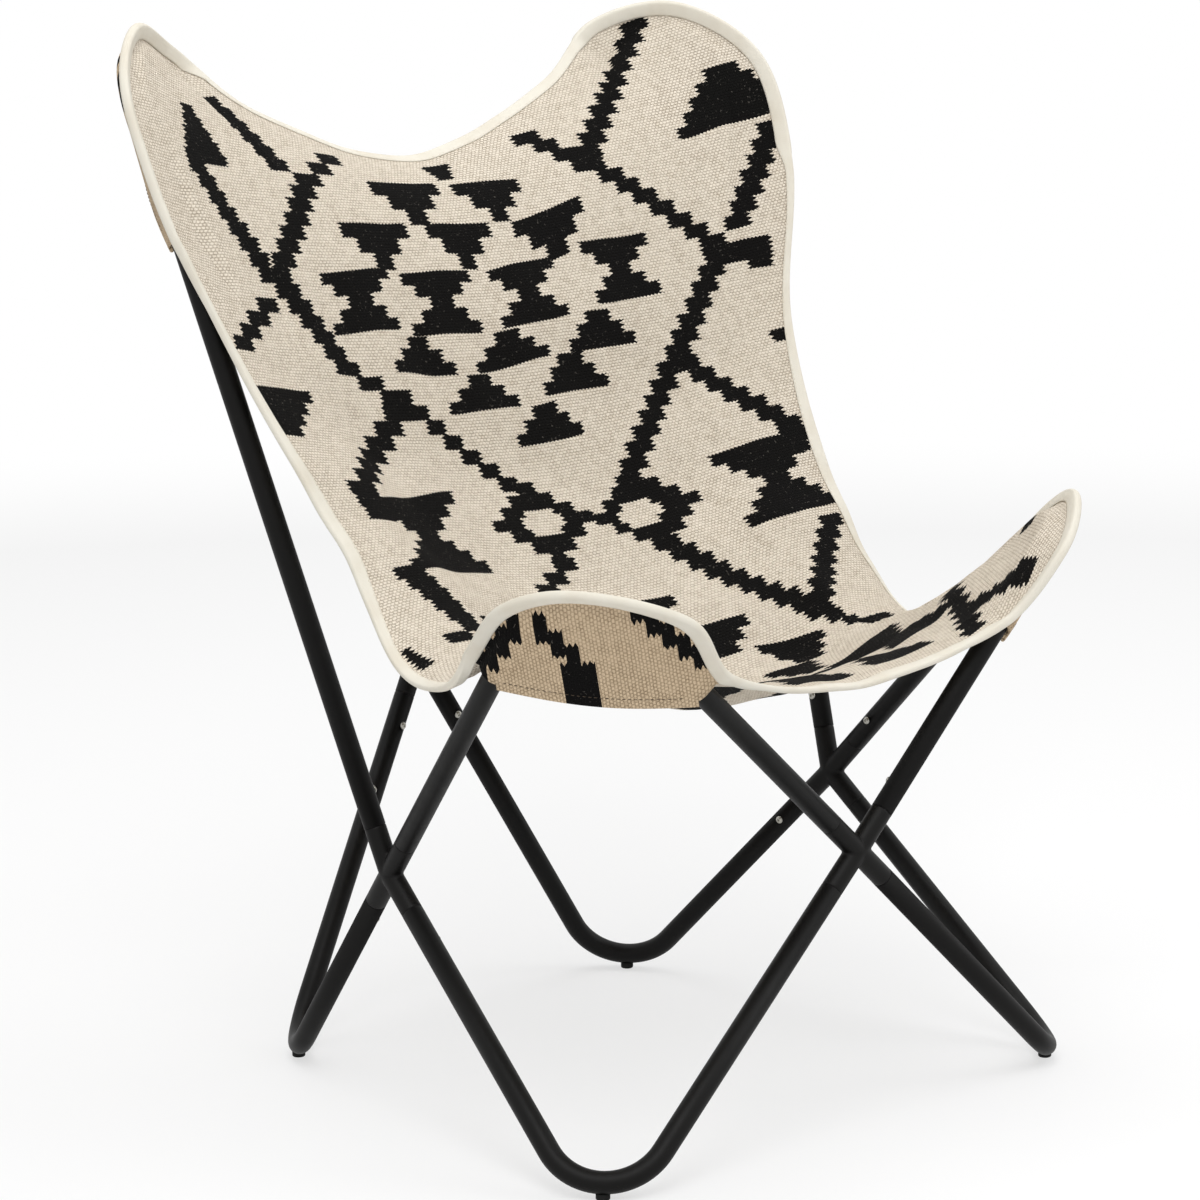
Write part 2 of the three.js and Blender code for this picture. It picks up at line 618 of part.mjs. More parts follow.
// Panel: the rim, the binding's inner line, rows over the tubes, then wide rings to the middle
const panelPoints = [...rimPoints];
[BINDING_WIDTH, ...OVER_TUBE_ROWS].forEach((distance, row) => {
  for (const spoke of everySpoke) {
    const point = onSling(radiusAt(spoke, distance), spoke);
    const flange = flanges[spoke];
    if (flange) point.lerp(flange.panelRows[row], flange.hold);
    panelPoints.push(point);
  }
});
for (const spoke of everySpoke) {
  const free = radiusAt(spoke, PAST_TUBE_ROW);
  const { past, hold } = flanges[spoke] ?? { past: free, hold: 0 };
  panelPoints.push(onSling(THREE.MathUtils.lerp(free, Math.min(past, free), hold), spoke));
}
for (const radius of MIDDLE_RINGS) panelPoints.push(...everySpoke.map((spoke) => onSling(radius, spoke)));
const pole = panelPoints.length;
panelPoints.push(onSling(0, 0));
const panelFaces = [];
for (let ring = SPOKES; ring < pole; ring += SPOKES) {
  for (let spoke = 0; spoke < SPOKES; spoke += 1) {
    const next = (spoke + 1) % SPOKES;
    stitch(panelFaces, ring - SPOKES + spoke, ring - SPOKES + next, ring + next, ring + spoke, onRight(spoke));
  }
}
for (let spoke = 0; spoke < SPOKES; spoke += 1) {
  panelFaces.push([pole - SPOKES + spoke, pole - SPOKES + ((spoke + 1) % SPOKES), pole]);
}
const panel = thicken(panelPoints, panelFaces, CLOTH_THICKNESS);
addPiece('sling_panel', panel.geometry, kilim);

// Binding: a tape folded over the rim, its lips a binding width deep, wide enough for the cloth inside
function bindingSection(spoke) {
  const edge = panelPoints[spoke];
  const stitchLine = panelPoints[SPOKES + spoke];
  const outward = edge.clone().sub(stitchLine).normalize();
  const top = CLOTH_THICKNESS / 2 + BINDING_EASE;
  const bottom = flanges[spoke] ? top + POCKET_DEPTH : top;
  const past = BINDING_EASE + BINDING_THICKNESS;
  const panelSide = panel.normals[SPOKES + spoke];
  const pocketSide = pocketed.has(spoke) ? panelSide.clone().reflect(panel.normals[spoke]).negate() : panelSide;
  const lip = (height) => stitchLine.clone().addScaledVector(height > 0 ? panelSide : pocketSide, height);
  const fold = (height, beyond) => edge.clone()
    .addScaledVector(panel.normals[spoke], height)
    .addScaledVector(outward, beyond);
  return [
    lip(top + BINDING_THICKNESS), fold(top + BINDING_THICKNESS, past),
    fold(-bottom - BINDING_THICKNESS, past), lip(-bottom - BINDING_THICKNESS),
    lip(-bottom), fold(-bottom, BINDING_EASE), fold(top, BINDING_EASE), lip(top),
  ];
}

const bindingPoints = [];
for (let spoke = 0; spoke < SPOKES; spoke += 1) bindingPoints.push(...bindingSection(spoke));
const sectionSize = bindingPoints.length / SPOKES;
const bindingFaces = [];
for (let spoke = 0; spoke < SPOKES; spoke += 1) {
  const lower = spoke * sectionSize;
  const upper = ((spoke + 1) % SPOKES) * sectionSize;
  for (let corner = 0; corner < sectionSize; corner += 1) {
    const next = (corner + 1) % sectionSize;
    const flip = (corner % 4 === 0) !== onRight(spoke);
    stitch(bindingFaces, lower + corner, lower + next, upper + next, upper + corner, flip);
  }
}
const binding = new THREE.BufferGeometry().setFromPoints(bindingPoints);
binding.setIndex(bindingFaces.flat());
binding.computeVertexNormals();
addPiece('sling_binding', binding, canvas);

// The taut way from a sewn point, given as how far outside and inward of the tube, round its outer side
function wrapRow(outside, inward) {
  const distance = Math.max(Math.hypot(outside, inward), CLOTH_OFF_TUBE);
  const touch = Math.atan2(inward, outside) - Math.acos(CLOTH_OFF_TUBE / distance);
  const row = [];
  for (let step = 0; step <= WRAP_STEPS; step += 1) {
    const angle = touch + ((-Math.PI / 2 - touch) * step) / WRAP_STEPS;
    row.push([CLOTH_OFF_TUBE * Math.cos(angle), CLOTH_OFF_TUBE * Math.sin(angle)]);
  }
  return row;
}

// One line of pocket cloth: from the rim, out of the binding, round the outside of the tube
function pocketColumn(loop, spoke) {
  const line = SPOKES + spoke;
  const ring = 2 * SPOKES + spoke;
  const edge = panelPoints[spoke].clone().addScaledVector(panel.normals[spoke], -POCKET_DEPTH);
  const share = POCKET_LEAVE / panelPoints[line].distanceTo(panelPoints[ring]);
  const normal = panel.normals[line].clone().lerp(panel.normals[ring], share).normalize();
  const sewn = panelPoints[line].clone().lerp(panelPoints[ring], share).addScaledVector(normal, -POCKET_DEPTH);
  sewn.lerp(flanges[spoke].pocketRow, flanges[spoke].hold);
  const { foot, radial, outside, inward } = offLoop(loop, sewn);
  const wrap = wrapRow(outside, inward).map(([out, inn]) => foot.clone()
    .addScaledVector(radial, out)
    .addScaledVector(loop.inward, inn));
  return [edge, sewn, ...wrap];
}

function pocketGeometry(loop, spokes, { drop, bow }) {
  const columns = spokes.map((spoke) => pocketColumn(loop, spoke));
  const ends = [columns[0].at(-1).clone(), columns.at(-1).at(-1).clone()];
  for (const end of ends) end.addScaledVector(loop.up, -drop);
  columns.forEach((column, index) => {
    const share = index / (columns.length - 1);
    const top = column.at(-1).clone();
    const hem = ends[0].clone().lerp(ends[1], share);
    hem.addScaledVector(loop.inward, -bow * Math.sin(Math.PI * share));
    for (let step = 1; step <= APRON_STEPS; step += 1) {
      column.push(top.clone().lerp(hem, step / APRON_STEPS));
    }
  });
  const rows = columns[0].length;
  const faces = [];
  for (let column = 0; column + 1 < columns.length; column += 1) {
    for (let row = 0; row + 1 < rows; row += 1) {
      const here = column * rows + row;
      const next = here + rows;
      stitch(faces, next, next + 1, here + 1, here, !onRight(spokes[column]));
    }
  }
  return thicken(columns.flat(), faces, CLOTH_THICKNESS).geometry;
}

for (const { name, spokes, hem } of pockets) {
  addPiece(`pocket_${name}`, pocketGeometry(tubes[`loop_${name}`], spokes, hem), kilim);
}

export default chair;
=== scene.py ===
"""Looks of a butterfly sling chair: a black tube frame with a black and cream kilim sling.

Metres, +Z up, the front faces -Y, left (-X) and right (+X) as seen from the front. The frame's
pieces and the cloth follow the same sizes as the solids that they stand for.
"""

from __future__ import annotations

import logging
import math
from collections.abc import Sequence
from dataclasses import dataclass, field
from enum import Enum

import bmesh
import bpy
import numpy as np
from mathutils import Matrix, Vector

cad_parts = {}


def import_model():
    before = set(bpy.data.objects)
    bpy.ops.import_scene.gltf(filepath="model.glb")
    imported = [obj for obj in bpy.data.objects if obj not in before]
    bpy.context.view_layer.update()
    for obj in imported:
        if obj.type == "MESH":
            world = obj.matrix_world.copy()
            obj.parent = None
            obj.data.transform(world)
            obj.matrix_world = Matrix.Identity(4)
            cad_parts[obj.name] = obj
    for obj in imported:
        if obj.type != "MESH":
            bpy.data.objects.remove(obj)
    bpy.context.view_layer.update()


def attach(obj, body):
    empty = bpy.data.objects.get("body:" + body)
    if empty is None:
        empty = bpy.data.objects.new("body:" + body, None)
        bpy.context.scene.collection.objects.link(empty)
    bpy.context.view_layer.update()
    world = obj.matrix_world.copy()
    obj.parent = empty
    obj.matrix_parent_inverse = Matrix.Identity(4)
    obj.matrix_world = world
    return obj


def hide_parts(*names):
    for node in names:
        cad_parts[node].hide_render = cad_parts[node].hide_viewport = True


LOG = logging.getLogger("chair")
BODY = "root"
MM = 0.001
FLAT = "flat"


class Side(Enum):
    """The two sides of the chair as seen from the front, each with its sign along X."""

    LEFT = -1
    RIGHT = 1

    @property
    def word(self) -> str:
        """The side's name inside a piece's name."""
        return self.name.lower()


class Value:
    """A number that changes over a surface: a socket of a material, with Python's operators."""

    def __init__(self, graph: Graph, socket: bpy.types.NodeSocket) -> None:
        """Keep the socket.

        Args:
            graph: The material that the socket belongs to.
            socket: The socket that gives the number.
        """
        self.graph = graph
        self.socket = socket

    def __add__(self, other: Number) -> Value:
        """Sum."""
        return self.graph.math("ADD", self, other)

    __radd__ = __add__

    def __sub__(self, other: Number) -> Value:
        """Difference."""
        return self.graph.math("SUBTRACT", self, other)

    def __rsub__(self, other: Number) -> Value:
        """Difference, the other way round."""
        return self.graph.math("SUBTRACT", other, self)

    def __mul__(self, other: Number) -> Value:
        """Product."""
        return self.graph.math("MULTIPLY", self, other)

    __rmul__ = __mul__

    def __truediv__(self, other: Number) -> Value:
        """Quotient."""
        return self.graph.math("DIVIDE", self, other)

    def __neg__(self) -> Value:
        """Negative."""
        return self.graph.math("MULTIPLY", self, -1)

    def __abs__(self) -> Value:
        """Size without sign."""
        return self.graph.math("ABSOLUTE", self)

    def __lt__(self, other: Number) -> Value:
        """1 where this is the smaller, else 0."""
        return self.graph.math("LESS_THAN", self, other)

    def __gt__(self, other: Number) -> Value:
        """1 where this is the larger, else 0."""
        return self.graph.math("GREATER_THAN", self, other)

    def __and__(self, other: Number) -> Value:
        """The smaller of the two: both masks."""
        return self.graph.math("MINIMUM", self, other)

    def __or__(self, other: Number) -> Value:
        """The larger of the two: either mask."""
        return self.graph.math("MAXIMUM", self, other)

    def floor(self) -> Value:
        """The whole number below."""
        return self.graph.math("FLOOR", self)

    def ping_pong(self, scale: float) -> Value:
        """A zigzag between 0 and `scale`."""
        return self.graph.math("PINGPONG", self, scale)

    def ramp(self, start: float, end: float) -> Value:
        """From 0 at `start` to 1 at `end`, smooth between."""
        settings = {"interpolation_type": "SMOOTHSTEP"}
        node = self.graph.node("ShaderNodeMapRange", settings, {0: self, 1: start, 2: end})
        return Value(self.graph, node.outputs[0])


Number = Value | float | int


class Graph:
    """The node tree of a material or of the world."""

    def __init__(self, owner: bpy.types.Material | bpy.types.World) -> None:
        """Take up the nodes of a new material or world.

        Args:
            owner: The material, with its Principled shader, or the world, with its Background.
        """
        owner.use_nodes = True
        self.owner = owner
        self.tree = owner.node_tree
        found = [node for node in self.tree.nodes if node.type in ("BSDF_PRINCIPLED", "BACKGROUND")]
        self.shader = found[0]

    def node(self, kind: str, settings: dict | None = None, inputs: dict | None = None) -> bpy.types.Node:
        """Add a node.

        Args:
            kind: The node's type name.
            settings: Its properties, set before its sockets.
            inputs: Values or links for its sockets, by index or name.

        Returns:
            The new node.
        """
        made = self.tree.nodes.new(kind)
        for key, value in (settings or {}).items():
            setattr(made, key, value)
        for key, value in (inputs or {}).items():
            self.feed(made.inputs[key], value)
        return made

    def feed(self, socket: bpy.types.NodeSocket, value: object) -> None:
        """Link a value or a socket to a socket, or set its number.

        Args:
            socket: The socket to feed.
            value: A Value, a node's output, or a plain number, colour or vector.
        """
        if isinstance(value, Value):
            value = value.socket
        if isinstance(value, bpy.types.NodeSocket):
            self.tree.links.new(value, socket)
        else:
            socket.default_value = value

    def math(self, operation: str, *values: Number) -> Value:
        """Add a Math node.

        Args:
            operation: The node's operation.
            values: Its inputs.

        Returns:
            Its result.
        """
        made = self.node("ShaderNodeMath", {"operation": operation}, dict(enumerate(values)))
        return Value(self, made.outputs[0])

    def mix(self, share: Number, first: object, second: object) -> bpy.types.NodeSocket:
        """Mix two colours.

        Args:
            share: How much of the second colour.
            first: The colour at 0.
            second: The colour at 1.

        Returns:
            The mixed colour's socket.
        """
        made = self.node("ShaderNodeMix", {"data_type": "RGBA"}, {0: share, 6: first, 7: second})
        return made.outputs[2]

    def noise(self, vector: bpy.types.NodeSocket, scale: float, detail: float = 2.0) -> Value:
        """Add a noise.

        Args:
            vector: Where the noise is read.
            scale: How many bumps to a metre.
            detail: How many finer layers.

        Returns:
            The noise, around a half.
        """
        made = self.node("ShaderNodeTexNoise", None, {"Vector": vector, "Scale": scale, "Detail": detail})
        return Value(self, made.outputs[0])

    def place(self) -> bpy.types.NodeSocket:
        """Where a point lies in the row frame."""
        return self.node("ShaderNodeTexCoord").outputs["Object"]

    def seen(self) -> Value:
        """1 for the rays that the picture shows, straight, mirrored or let through, else 0."""
        path = self.node("ShaderNodeLightPath")
        straight, mirrored, let_through = (
            Value(self, path.outputs[f"Is {kind} Ray"]) for kind in ("Camera", "Glossy", "Transmission")
        )
        return straight | mirrored | let_through

    def bump(self, height: Value, depth: float) -> None:
        """Feed the shader's normal from a height.

        Args:
            height: The height, from 0 to 1.
            depth: The real height of 1, in metres.
        """
        made = self.node("ShaderNodeBump", None, {"Strength": 1.0, "Distance": depth, "Height": height})
        self.feed(self.shader.inputs["Normal"], made.outputs[0])

    def dress(self, **inputs: object) -> bpy.types.Material:
        """Feed the shader's sockets.

        Args:
            inputs: Values or links by socket name, with _ for a space.

        Returns:
            The material.
        """
        for key, value in inputs.items():
            self.feed(self.shader.inputs[key.replace("_", " ").title()], value)
        return self.owner


def linear(red: int, green: int, blue: int) -> tuple[float, float, float, float]:
    """A colour as the shader wants it.

    Args:
        red: Red on the screen, 0 to 255.
        green: Green on the screen.
        blue: Blue on the screen.

    Returns:
        The linear colour with full alpha.
    """
    parts = []
    for part in (red, green, blue):
        share = part / 255
        parts.append(share / 12.92 if share <= 0.04045 else ((share + 0.055) / 1.055) ** 2.4)
    return (*parts, 1.0)


def publish(
    name: str, mesh: bmesh.types.BMesh, material: bpy.types.Material,
) -> bpy.types.Object:
    """Turn a bmesh into a piece of the chair, smooth all over, riding on its body.

    Args:
        name: The piece's name.
        mesh: Its shape, which is freed.
        material: Its material.

    Returns:
        The new object.
    """
    data = bpy.data.meshes.new(name)
    for face in mesh.faces:
        face.smooth = True
    mesh.to_mesh(data)
    mesh.free()
    data.materials.append(material)
    piece = bpy.data.objects.new(name, data)
    bpy.context.scene.collection.objects.link(piece)
    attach(piece, BODY)
    LOG.info("%s: %d faces", name, len(data.polygons))
    return piece


@dataclass(frozen=True)
class Finish:
    """A finish of one colour with a fine grain.

    Attributes:
        name: The material's name.
        colour: Its colour on the screen, 0 to 255.
        roughness: How dull it is.
        metallic: 1 for bare metal.
        shine: How strongly it reflects.
        grain: How far apart the grain's bumps are.
        depth: How high they are.
        mottle: How much the colour changes from place to place.
        clouds: How many clouds of colour there are to a metre.
        cloud_span: The part of the noise that the colour's change runs over.
        smears: How many duller spots there are to a metre.
        smear: How much the roughness changes there.
    """

    name: str
    colour: tuple[int, int, int]
    roughness: float
    metallic: float = 0.0
    shine: float = 0.5
    grain: float = 1.5 * MM
    depth: float = 0.02 * MM
    mottle: float = 0.08
    clouds: float = 40.0
    cloud_span: tuple[float, float] = (0.3, 0.7)
    smears: float = 90.0
    smear: float = 0.12

    def material(self) -> bpy.types.Material:
        """The finish as a material."""
        graph = Graph(bpy.data.materials.new(self.name))
        place = graph.place()
        full = linear(*self.colour)
        less = tuple(part * (1 - self.mottle) for part in full[:3]) + (1.0,)
        graph.bump(graph.noise(place, 1 / self.grain), self.depth)
        cloudy = graph.noise(place, self.clouds).ramp(*self.cloud_span)
        graph.feed(graph.shader.inputs["Metallic"], self.metallic)
        graph.feed(graph.shader.inputs["Specular IOR Level"], self.shine)
        dull = self.roughness + (graph.noise(place, self.smears) - 0.5) * self.smear
        return graph.dress(base_color=graph.mix(cloudy, full, less), roughness=dull)


@dataclass(frozen=True)
class Canvas:
    """The binding's plain canvas, a fine square weave.

    Attributes:
        colour: Its colour on the screen, 0 to 255.
        shade: The colour of its soiled spots.
        pitch: How far apart its threads are.
        depth: How high they are.
        swell: How much of the height the threads take.
        fuzz: How much the fluff takes.
        fluff: How many bumps of fluff there are to a metre.
        soil: How much the soiled spots show.
        spots: How many there are to a metre.
        spot_span: The part of the noise that they run over.
        roughness: How dull it is.
    """

    colour: tuple[int, int, int] = (222, 217, 204)
    shade: tuple[int, int, int] = (206, 196, 177)
    pitch: float = 1.1 * MM
    depth: float = 0.12 * MM
    swell: float = 0.3
    fuzz: float = 0.6
    fluff: float = 700.0
    soil: float = 0.45
    spots: float = 28.0
    spot_span: tuple[float, float] = (0.35, 0.75)
    roughness: float = 0.92

    def material(self) -> bpy.types.Material:
        """The canvas as a material."""
        graph = Graph(bpy.data.materials.new("binding_canvas"))
        place = graph.place()
        split = graph.node("ShaderNodeSeparateXYZ", None, {0: place})
        turns = 2 * math.pi / self.pitch
        waves = [graph.math("SINE", Value(graph, out) * turns) for out in split.outputs]
        weave = (waves[0] * waves[1] + waves[1] * waves[2] + waves[2] * waves[0]) * self.swell + 0.5
        graph.bump(weave + graph.noise(place, self.fluff) * self.fuzz, self.depth)
        soiled = graph.noise(place, self.spots, 4).ramp(*self.spot_span) * self.soil
        colour = graph.mix(soiled, linear(*self.colour), linear(*self.shade))
        return graph.dress(base_color=colour, roughness=self.roughness)


@dataclass(frozen=True)
class Band:
    """A stepped diagonal band on the flat cloth, from its start up or down to its end, in millimetres.

    Attributes:
        start: Where its middle starts.
        end: Where its middle ends.
        half: Half its width along a row.
    """

    start: tuple[float, float]
    end: tuple[float, float]
    half: float = 14.5


@dataclass(frozen=True)
class Wedge:
    """A stepped wedge on the flat cloth, in millimetres.

    Attributes:
        middle: Its middle across the cloth.
        top: Its upper edge.
        bottom: Its lower edge.
        upper: Half its width at the upper edge.
        lower: Half its width at the lower edge.
        tilt: How far its rows rise with each millimetre to the right.
        rows: How many steps it has.
    """

    middle: float
    top: float
    bottom: float
    upper: float
    lower: float
    tilt: float = 0.0
    rows: int = 3


@dataclass(frozen=True)
class Waisted:
    """A stepped hourglass, or a diamond where its sides close in, in millimetres on the flat cloth.

    Attributes:
        middle: Its middle across the cloth.
        level: Its waist's height.
        reach: How far it goes up and down from there.
        half: Half its width at the waist.
        growth: How much that grows with each millimetre up or down.
        tilt: How far its rows rise with each millimetre to the right.
    """

    middle: float
    level: float
    reach: float
    half: float
    growth: float
    tilt: float = 0.0


@dataclass(frozen=True)
class Kilim:
    """The sling's flat-woven cloth: black stepped bands and motifs on cream.

    The sizes and places are millimetres on the flat cloth, and the noises count bumps to a metre.

    Attributes:
        cream: The light yarn's colour on the screen, 0 to 255.
        hollow: The light yarn's darker colour: painted shade between the knots, and random tone from knot
            to knot.
        shade_cream: The light yarn's colour on the pockets, darker and warmer as painted shade.
        shade_hollow: The same between the knots, with the same painted shade.
        black: The dark yarn's colour.
        speck: The warp's colour where it shows through the dark yarn.
        step: How high an hourglass's steps are.
        band_step: How high a band's steps are.
        first_row: Where one of the bands' steps starts.
        pocket_step: How high the steps on the pockets are.
        pocket_row: Where one of them starts.
        tooth: How far apart the teeth of the edges are.
        tooth_depth: How far they go to and fro.
        ripple: How far apart the ripples of the level edges are.
        ripple_depth: How far they go up and down.
        drift: How far the woven lines stray, with their noise along and across the rows.
        fray: How far single yarns stray, with their noise.
        knot_wide: How wide a knot of yarn is.
        knot_high: How high it is.
        relief: How far it stands out, in metres.
        sway: How far the knots stray, in knots, with their noise.
        fibre: The noise of the yarn's fibres.
        cloud: How much whole patches change, how much lighter they are, and their noise.
        sunk_gap: How much of the darker colour shows between the knots, as painted shade.
        sunk_tone: How much of the darker colour shows from knot to knot.
        sunk_fibre: How much of it shows from fibre to fibre.
        knot_round: How soon a knot rises to its full height.
        knot_rise: A knot's least height, and what its tone and its fibres add.
        speck_limits: The fibre noise and the knot's tone above which the warp shows.
        speck_share: How much of it shows.
        shine: How strongly the yarn reflects.
        roughness: How dull it is.
        bands: The bands.
        wedges: The wedges.
        hourglasses: The hourglasses.
        diamonds: The diamonds.
        windows: The light middles of the diamonds.
        pocket_bands: The bands on the pockets.
        pocket_bar: The bar on the pockets.
    """

    cream: tuple[int, int, int] = (227, 217, 201)
    # Darker light yarn: painted shade between the knots, and random tone from knot to knot.
    hollow: tuple[int, int, int] = (160, 141, 115)
    # The pockets' cream, darker and warmer than the panel's: painted shade.
    shade_cream: tuple[int, int, int] = (208, 186, 156)
    shade_hollow: tuple[int, int, int] = (142, 118, 90)
    black: tuple[int, int, int] = (13, 12, 11)
    speck: tuple[int, int, int] = (98, 94, 88)
    step: float = 12.0
    band_step: float = 14.0
    first_row: float = -43.0
    pocket_step: float = 11.0
    pocket_row: float = 31.0
    tooth: float = 4.6
    tooth_depth: float = 2.5
    ripple: float = 4.2
    ripple_depth: float = 0.7
    drift: tuple[float, float, float] = (6.0, 17.0, 14.0)
    fray: tuple[float, float] = (2.4, 260.0)
    knot_wide: float = 4.0
    knot_high: float = 2.8
    relief: float = 0.8 * MM
    sway: tuple[float, float] = (0.5, 130.0)
    fibre: float = 420.0
    cloud: tuple[float, float, float] = (0.45, 0.08, 70.0)
    # How strongly painted shade darkens the gaps between the knots.
    sunk_gap: float = 0.45
    sunk_tone: float = 0.2
    sunk_fibre: float = 0.7
    knot_round: float = 0.6
    knot_rise: tuple[float, float, float] = (0.6, 0.5, 0.4)
    speck_limits: tuple[float, float] = (0.62, 0.72)
    speck_share: float = 0.5
    shine: float = 0.1
    roughness: float = 0.95
    bands: tuple[Band, ...] = (
        Band((178, -52), (122, -2)), Band((180, -43), (300, 92)), Band((181, -48), (290, -148)),
        Band((312, -146), (396, -46)), Band((318, -160), (345, -188), 13),
        Band((296, -156), (207, -256), 15), Band((219, -258), (316, -358), 15),
        Band((206, -256), (86, -388), 15), Band((-168, -52), (-112, -17)),
        Band((-196, -42), (-243, 34)), Band((-169, -50), (-246, -150), 15),
        Band((-320, -42), (-255, -150), 13), Band((-256, -165), (-335, -230)),
        Band((-240, -158), (-188, -232)), Band((-193, -228), (-122, -268), 16),
        Band((-127, -260), (3, -366), 11.5), Band((-125, -264), (-235, -358), 18),
        Band((-238, -354), (-228, -392), 19), Band((-246, -446), (-207, -534), 18),
        Band((-2, -426), (-58, -464)), Band((-60, -466), (-240, -540), 16),
        Band((112, -420), (216, -552)), Band((207, -560), (301, -450), 15),
        Band((211, -556), (234, -588), 10), Band((259, -702), (162, -810)),
        Band((206, -765), (244, -832)), Band((282, -704), (340, -668)),
        Band((-222, -548), (-180, -640)),
    )
    wedges: tuple[Wedge, ...] = (
        Wedge(17, -21, -43, 17, 8), Wedge(-45, -47, -95, 51, 4), Wedge(54, -51, -97, 46, 3, -0.04),
        Wedge(-107, -93, -139, 50, 3), Wedge(-3, -95, -141, 46, 3, -0.03),
        Wedge(109, -90, -138, 53, 5, 0.2), Wedge(-90, -202, -238, 6, 44, -0.04),
        Wedge(19, -202, -235, 7, 54, 0.1), Wedge(131, -193, -230, 8, 46, -0.03),
        Wedge(-27, -240, -274, 7, 51, 0.04), Wedge(88, -229, -266, 10, 44),
        Wedge(43, -272, -308, 9, 46, 0.05), Wedge(-320, -258, -306, 80, 32, rows=4),
        Wedge(334, -247, -260, 15, 10), Wedge(312, -153, -174, 38, 36),
        Wedge(360, 23, -38, 12, 76, 0.05, 5), Wedge(-299, 14, -46, 7, 33, rows=5),
        Wedge(303, -340, -376, 16, 13), Wedge(-295, -533, -564, 4, 8), Wedge(48, -480, -516, 49, 8),
        Wedge(101, -519, -558, 47, 8, -0.12), Wedge(-20, -519, -558, 50, 8),
        Wedge(252, -584, -604, 24, 14), Wedge(163, -565, -600, 38, 10, -0.2),
        Wedge(28, -562, -602, 52, 8), Wedge(-80, -562, -602, 48, 8),
        Wedge(132, -598, -640, 32, 8, -0.04), Wedge(-24, -604, -652, 42, 8),
        Wedge(98, -728, -784, 14, 46), Wedge(-10, -728, -784, 14, 46), Wedge(241, -812, -832, 15, 15),
        Wedge(340, -752, -772, 22, 16),
    )
    hourglasses: tuple[Waisted, ...] = (
        Waisted(-149, -169, 29, 15, 1.15, 0.07), Waisted(-50, -172, 30, 14, 1.2),
        Waisted(58, -168, 29, 14, 1.2, 0.09), Waisted(175, -157, 31, 13, 1.1),
        Waisted(-170, -403, 44, 19, 1.3, 0.155), Waisted(263, -397, 43, 15, 1.15, 0.03),
        Waisted(180, -690, 46, 16, 0.75), Waisted(60, -690, 44, 14, 0.9),
        Waisted(-52, -690, 44, 14, 0.9),
    )
    diamonds: tuple[Waisted, ...] = (
        Waisted(-6, -385, 42, 62, -1.45), Waisted(117, -390, 43, 63, -1.45),
    )
    windows: tuple[Waisted, ...] = (
        Waisted(-4, -384, 13, 25, -1.0), Waisted(108, -392, 14, 25, -1.0),
    )
    pocket_bands: tuple[Band, ...] = (
        Band((3, 31), (-44, -2), 14), Band((9, -50), (-60, -99), 14), Band((6, 40), (-62, 86), 13),
    )
    pocket_bar: Wedge = Wedge(-68, 15, -13, 26, 26)

    def panel(self) -> bpy.types.Material:
        """The panel's cloth."""
        graph, flat, x, y = self.cloth("kilim_panel")
        drift, along, across = self.drift
        worn = y + (graph.noise(flat, across, 1) - 0.5) * drift
        worn = worn + (x.ping_pong(self.ripple / 2) / (self.ripple / 2) - 0.5) * (2 * self.ripple_depth)
        toothed = self.toothed(graph, flat, x + (graph.noise(flat, along, 1) - 0.5) * drift, y)
        row = self.stepped(worn, self.first_row, self.band_step)
        masks = [self.band(graph, toothed, row, band) for band in self.bands]
        masks += [self.wedge(graph, toothed, self.tilted(x, worn, shape), shape) for shape in self.wedges]
        for shape in self.hourglasses + self.diamonds:
            masks.append(self.waisted(graph, toothed, self.tilted(x, worn, shape), shape))
        gaps = [self.waisted(graph, toothed, worn, shape) for shape in self.windows]
        dark = self.union(masks) & (1 - self.union(gaps))
        return self.woven(graph, flat, (x, y), dark, (self.cream, self.hollow))

    def pocket(self) -> bpy.types.Material:
        """The pockets' cloth, cut across, so that its rows run up and down, its cream darker and warmer
        as painted shade.
        """
        graph, flat, x, y = self.cloth("kilim_pocket")
        toothed = self.toothed(graph, flat, y, x)
        row = self.stepped(x, self.pocket_row, self.pocket_step)
        masks = [self.band(graph, toothed, row, band) for band in self.pocket_bands]
        masks.append(self.wedge(graph, toothed, x, self.pocket_bar))
        # Painted shade: the pockets take the darker, warmer copies of the cream.
        return self.woven(graph, flat, (y, x), self.union(masks), (self.shade_cream, self.shade_hollow))

    @staticmethod
    def cloth(name: str) -> tuple[Graph, bpy.types.NodeSocket, Value, Value]:
        """Start a material of the cloth.

        Args:
            name: The material's name.

        Returns:
            Its graph, the place on the flat cloth in metres, and its two parts in millimetres.
        """
        graph = Graph(bpy.data.materials.new(name))
        flat = graph.node("ShaderNodeAttribute", {"attribute_name": FLAT}).outputs["Vector"]
        split = graph.node("ShaderNodeSeparateXYZ", None, {0: flat})
        x, y = (Value(graph, split.outputs[axis]) * 1000 for axis in range(2))
        return graph, flat, x, y

    def toothed(self, graph: Graph, flat: bpy.types.NodeSocket, along: Value, across: Value) -> Value:
        """The place along a row, moved to and fro from pick to pick, so that edges become teeth.

        Args:
            graph: The cloth's material.
            flat: The place on the flat cloth.
            along: The place along the row.
            across: The place across the rows.

        Returns:
            The moved place.
        """
        wave = across.ping_pong(self.tooth / 2) / (self.tooth / 2) - 0.5
        fray, yarns = self.fray
        return along + wave * (2 * self.tooth_depth) + (graph.noise(flat, yarns, 0) - 0.5) * fray

    @staticmethod
    def stepped(height: Value, first: float, step: float) -> Value:
        """The middle of the woven step that a height falls in.

        Args:
            height: The height.
            first: Where one of the steps starts.
            step: How high each step is.

        Returns:
            The height of the step's middle.
        """
        return (((height - first) / step).floor() + 0.5) * step + first

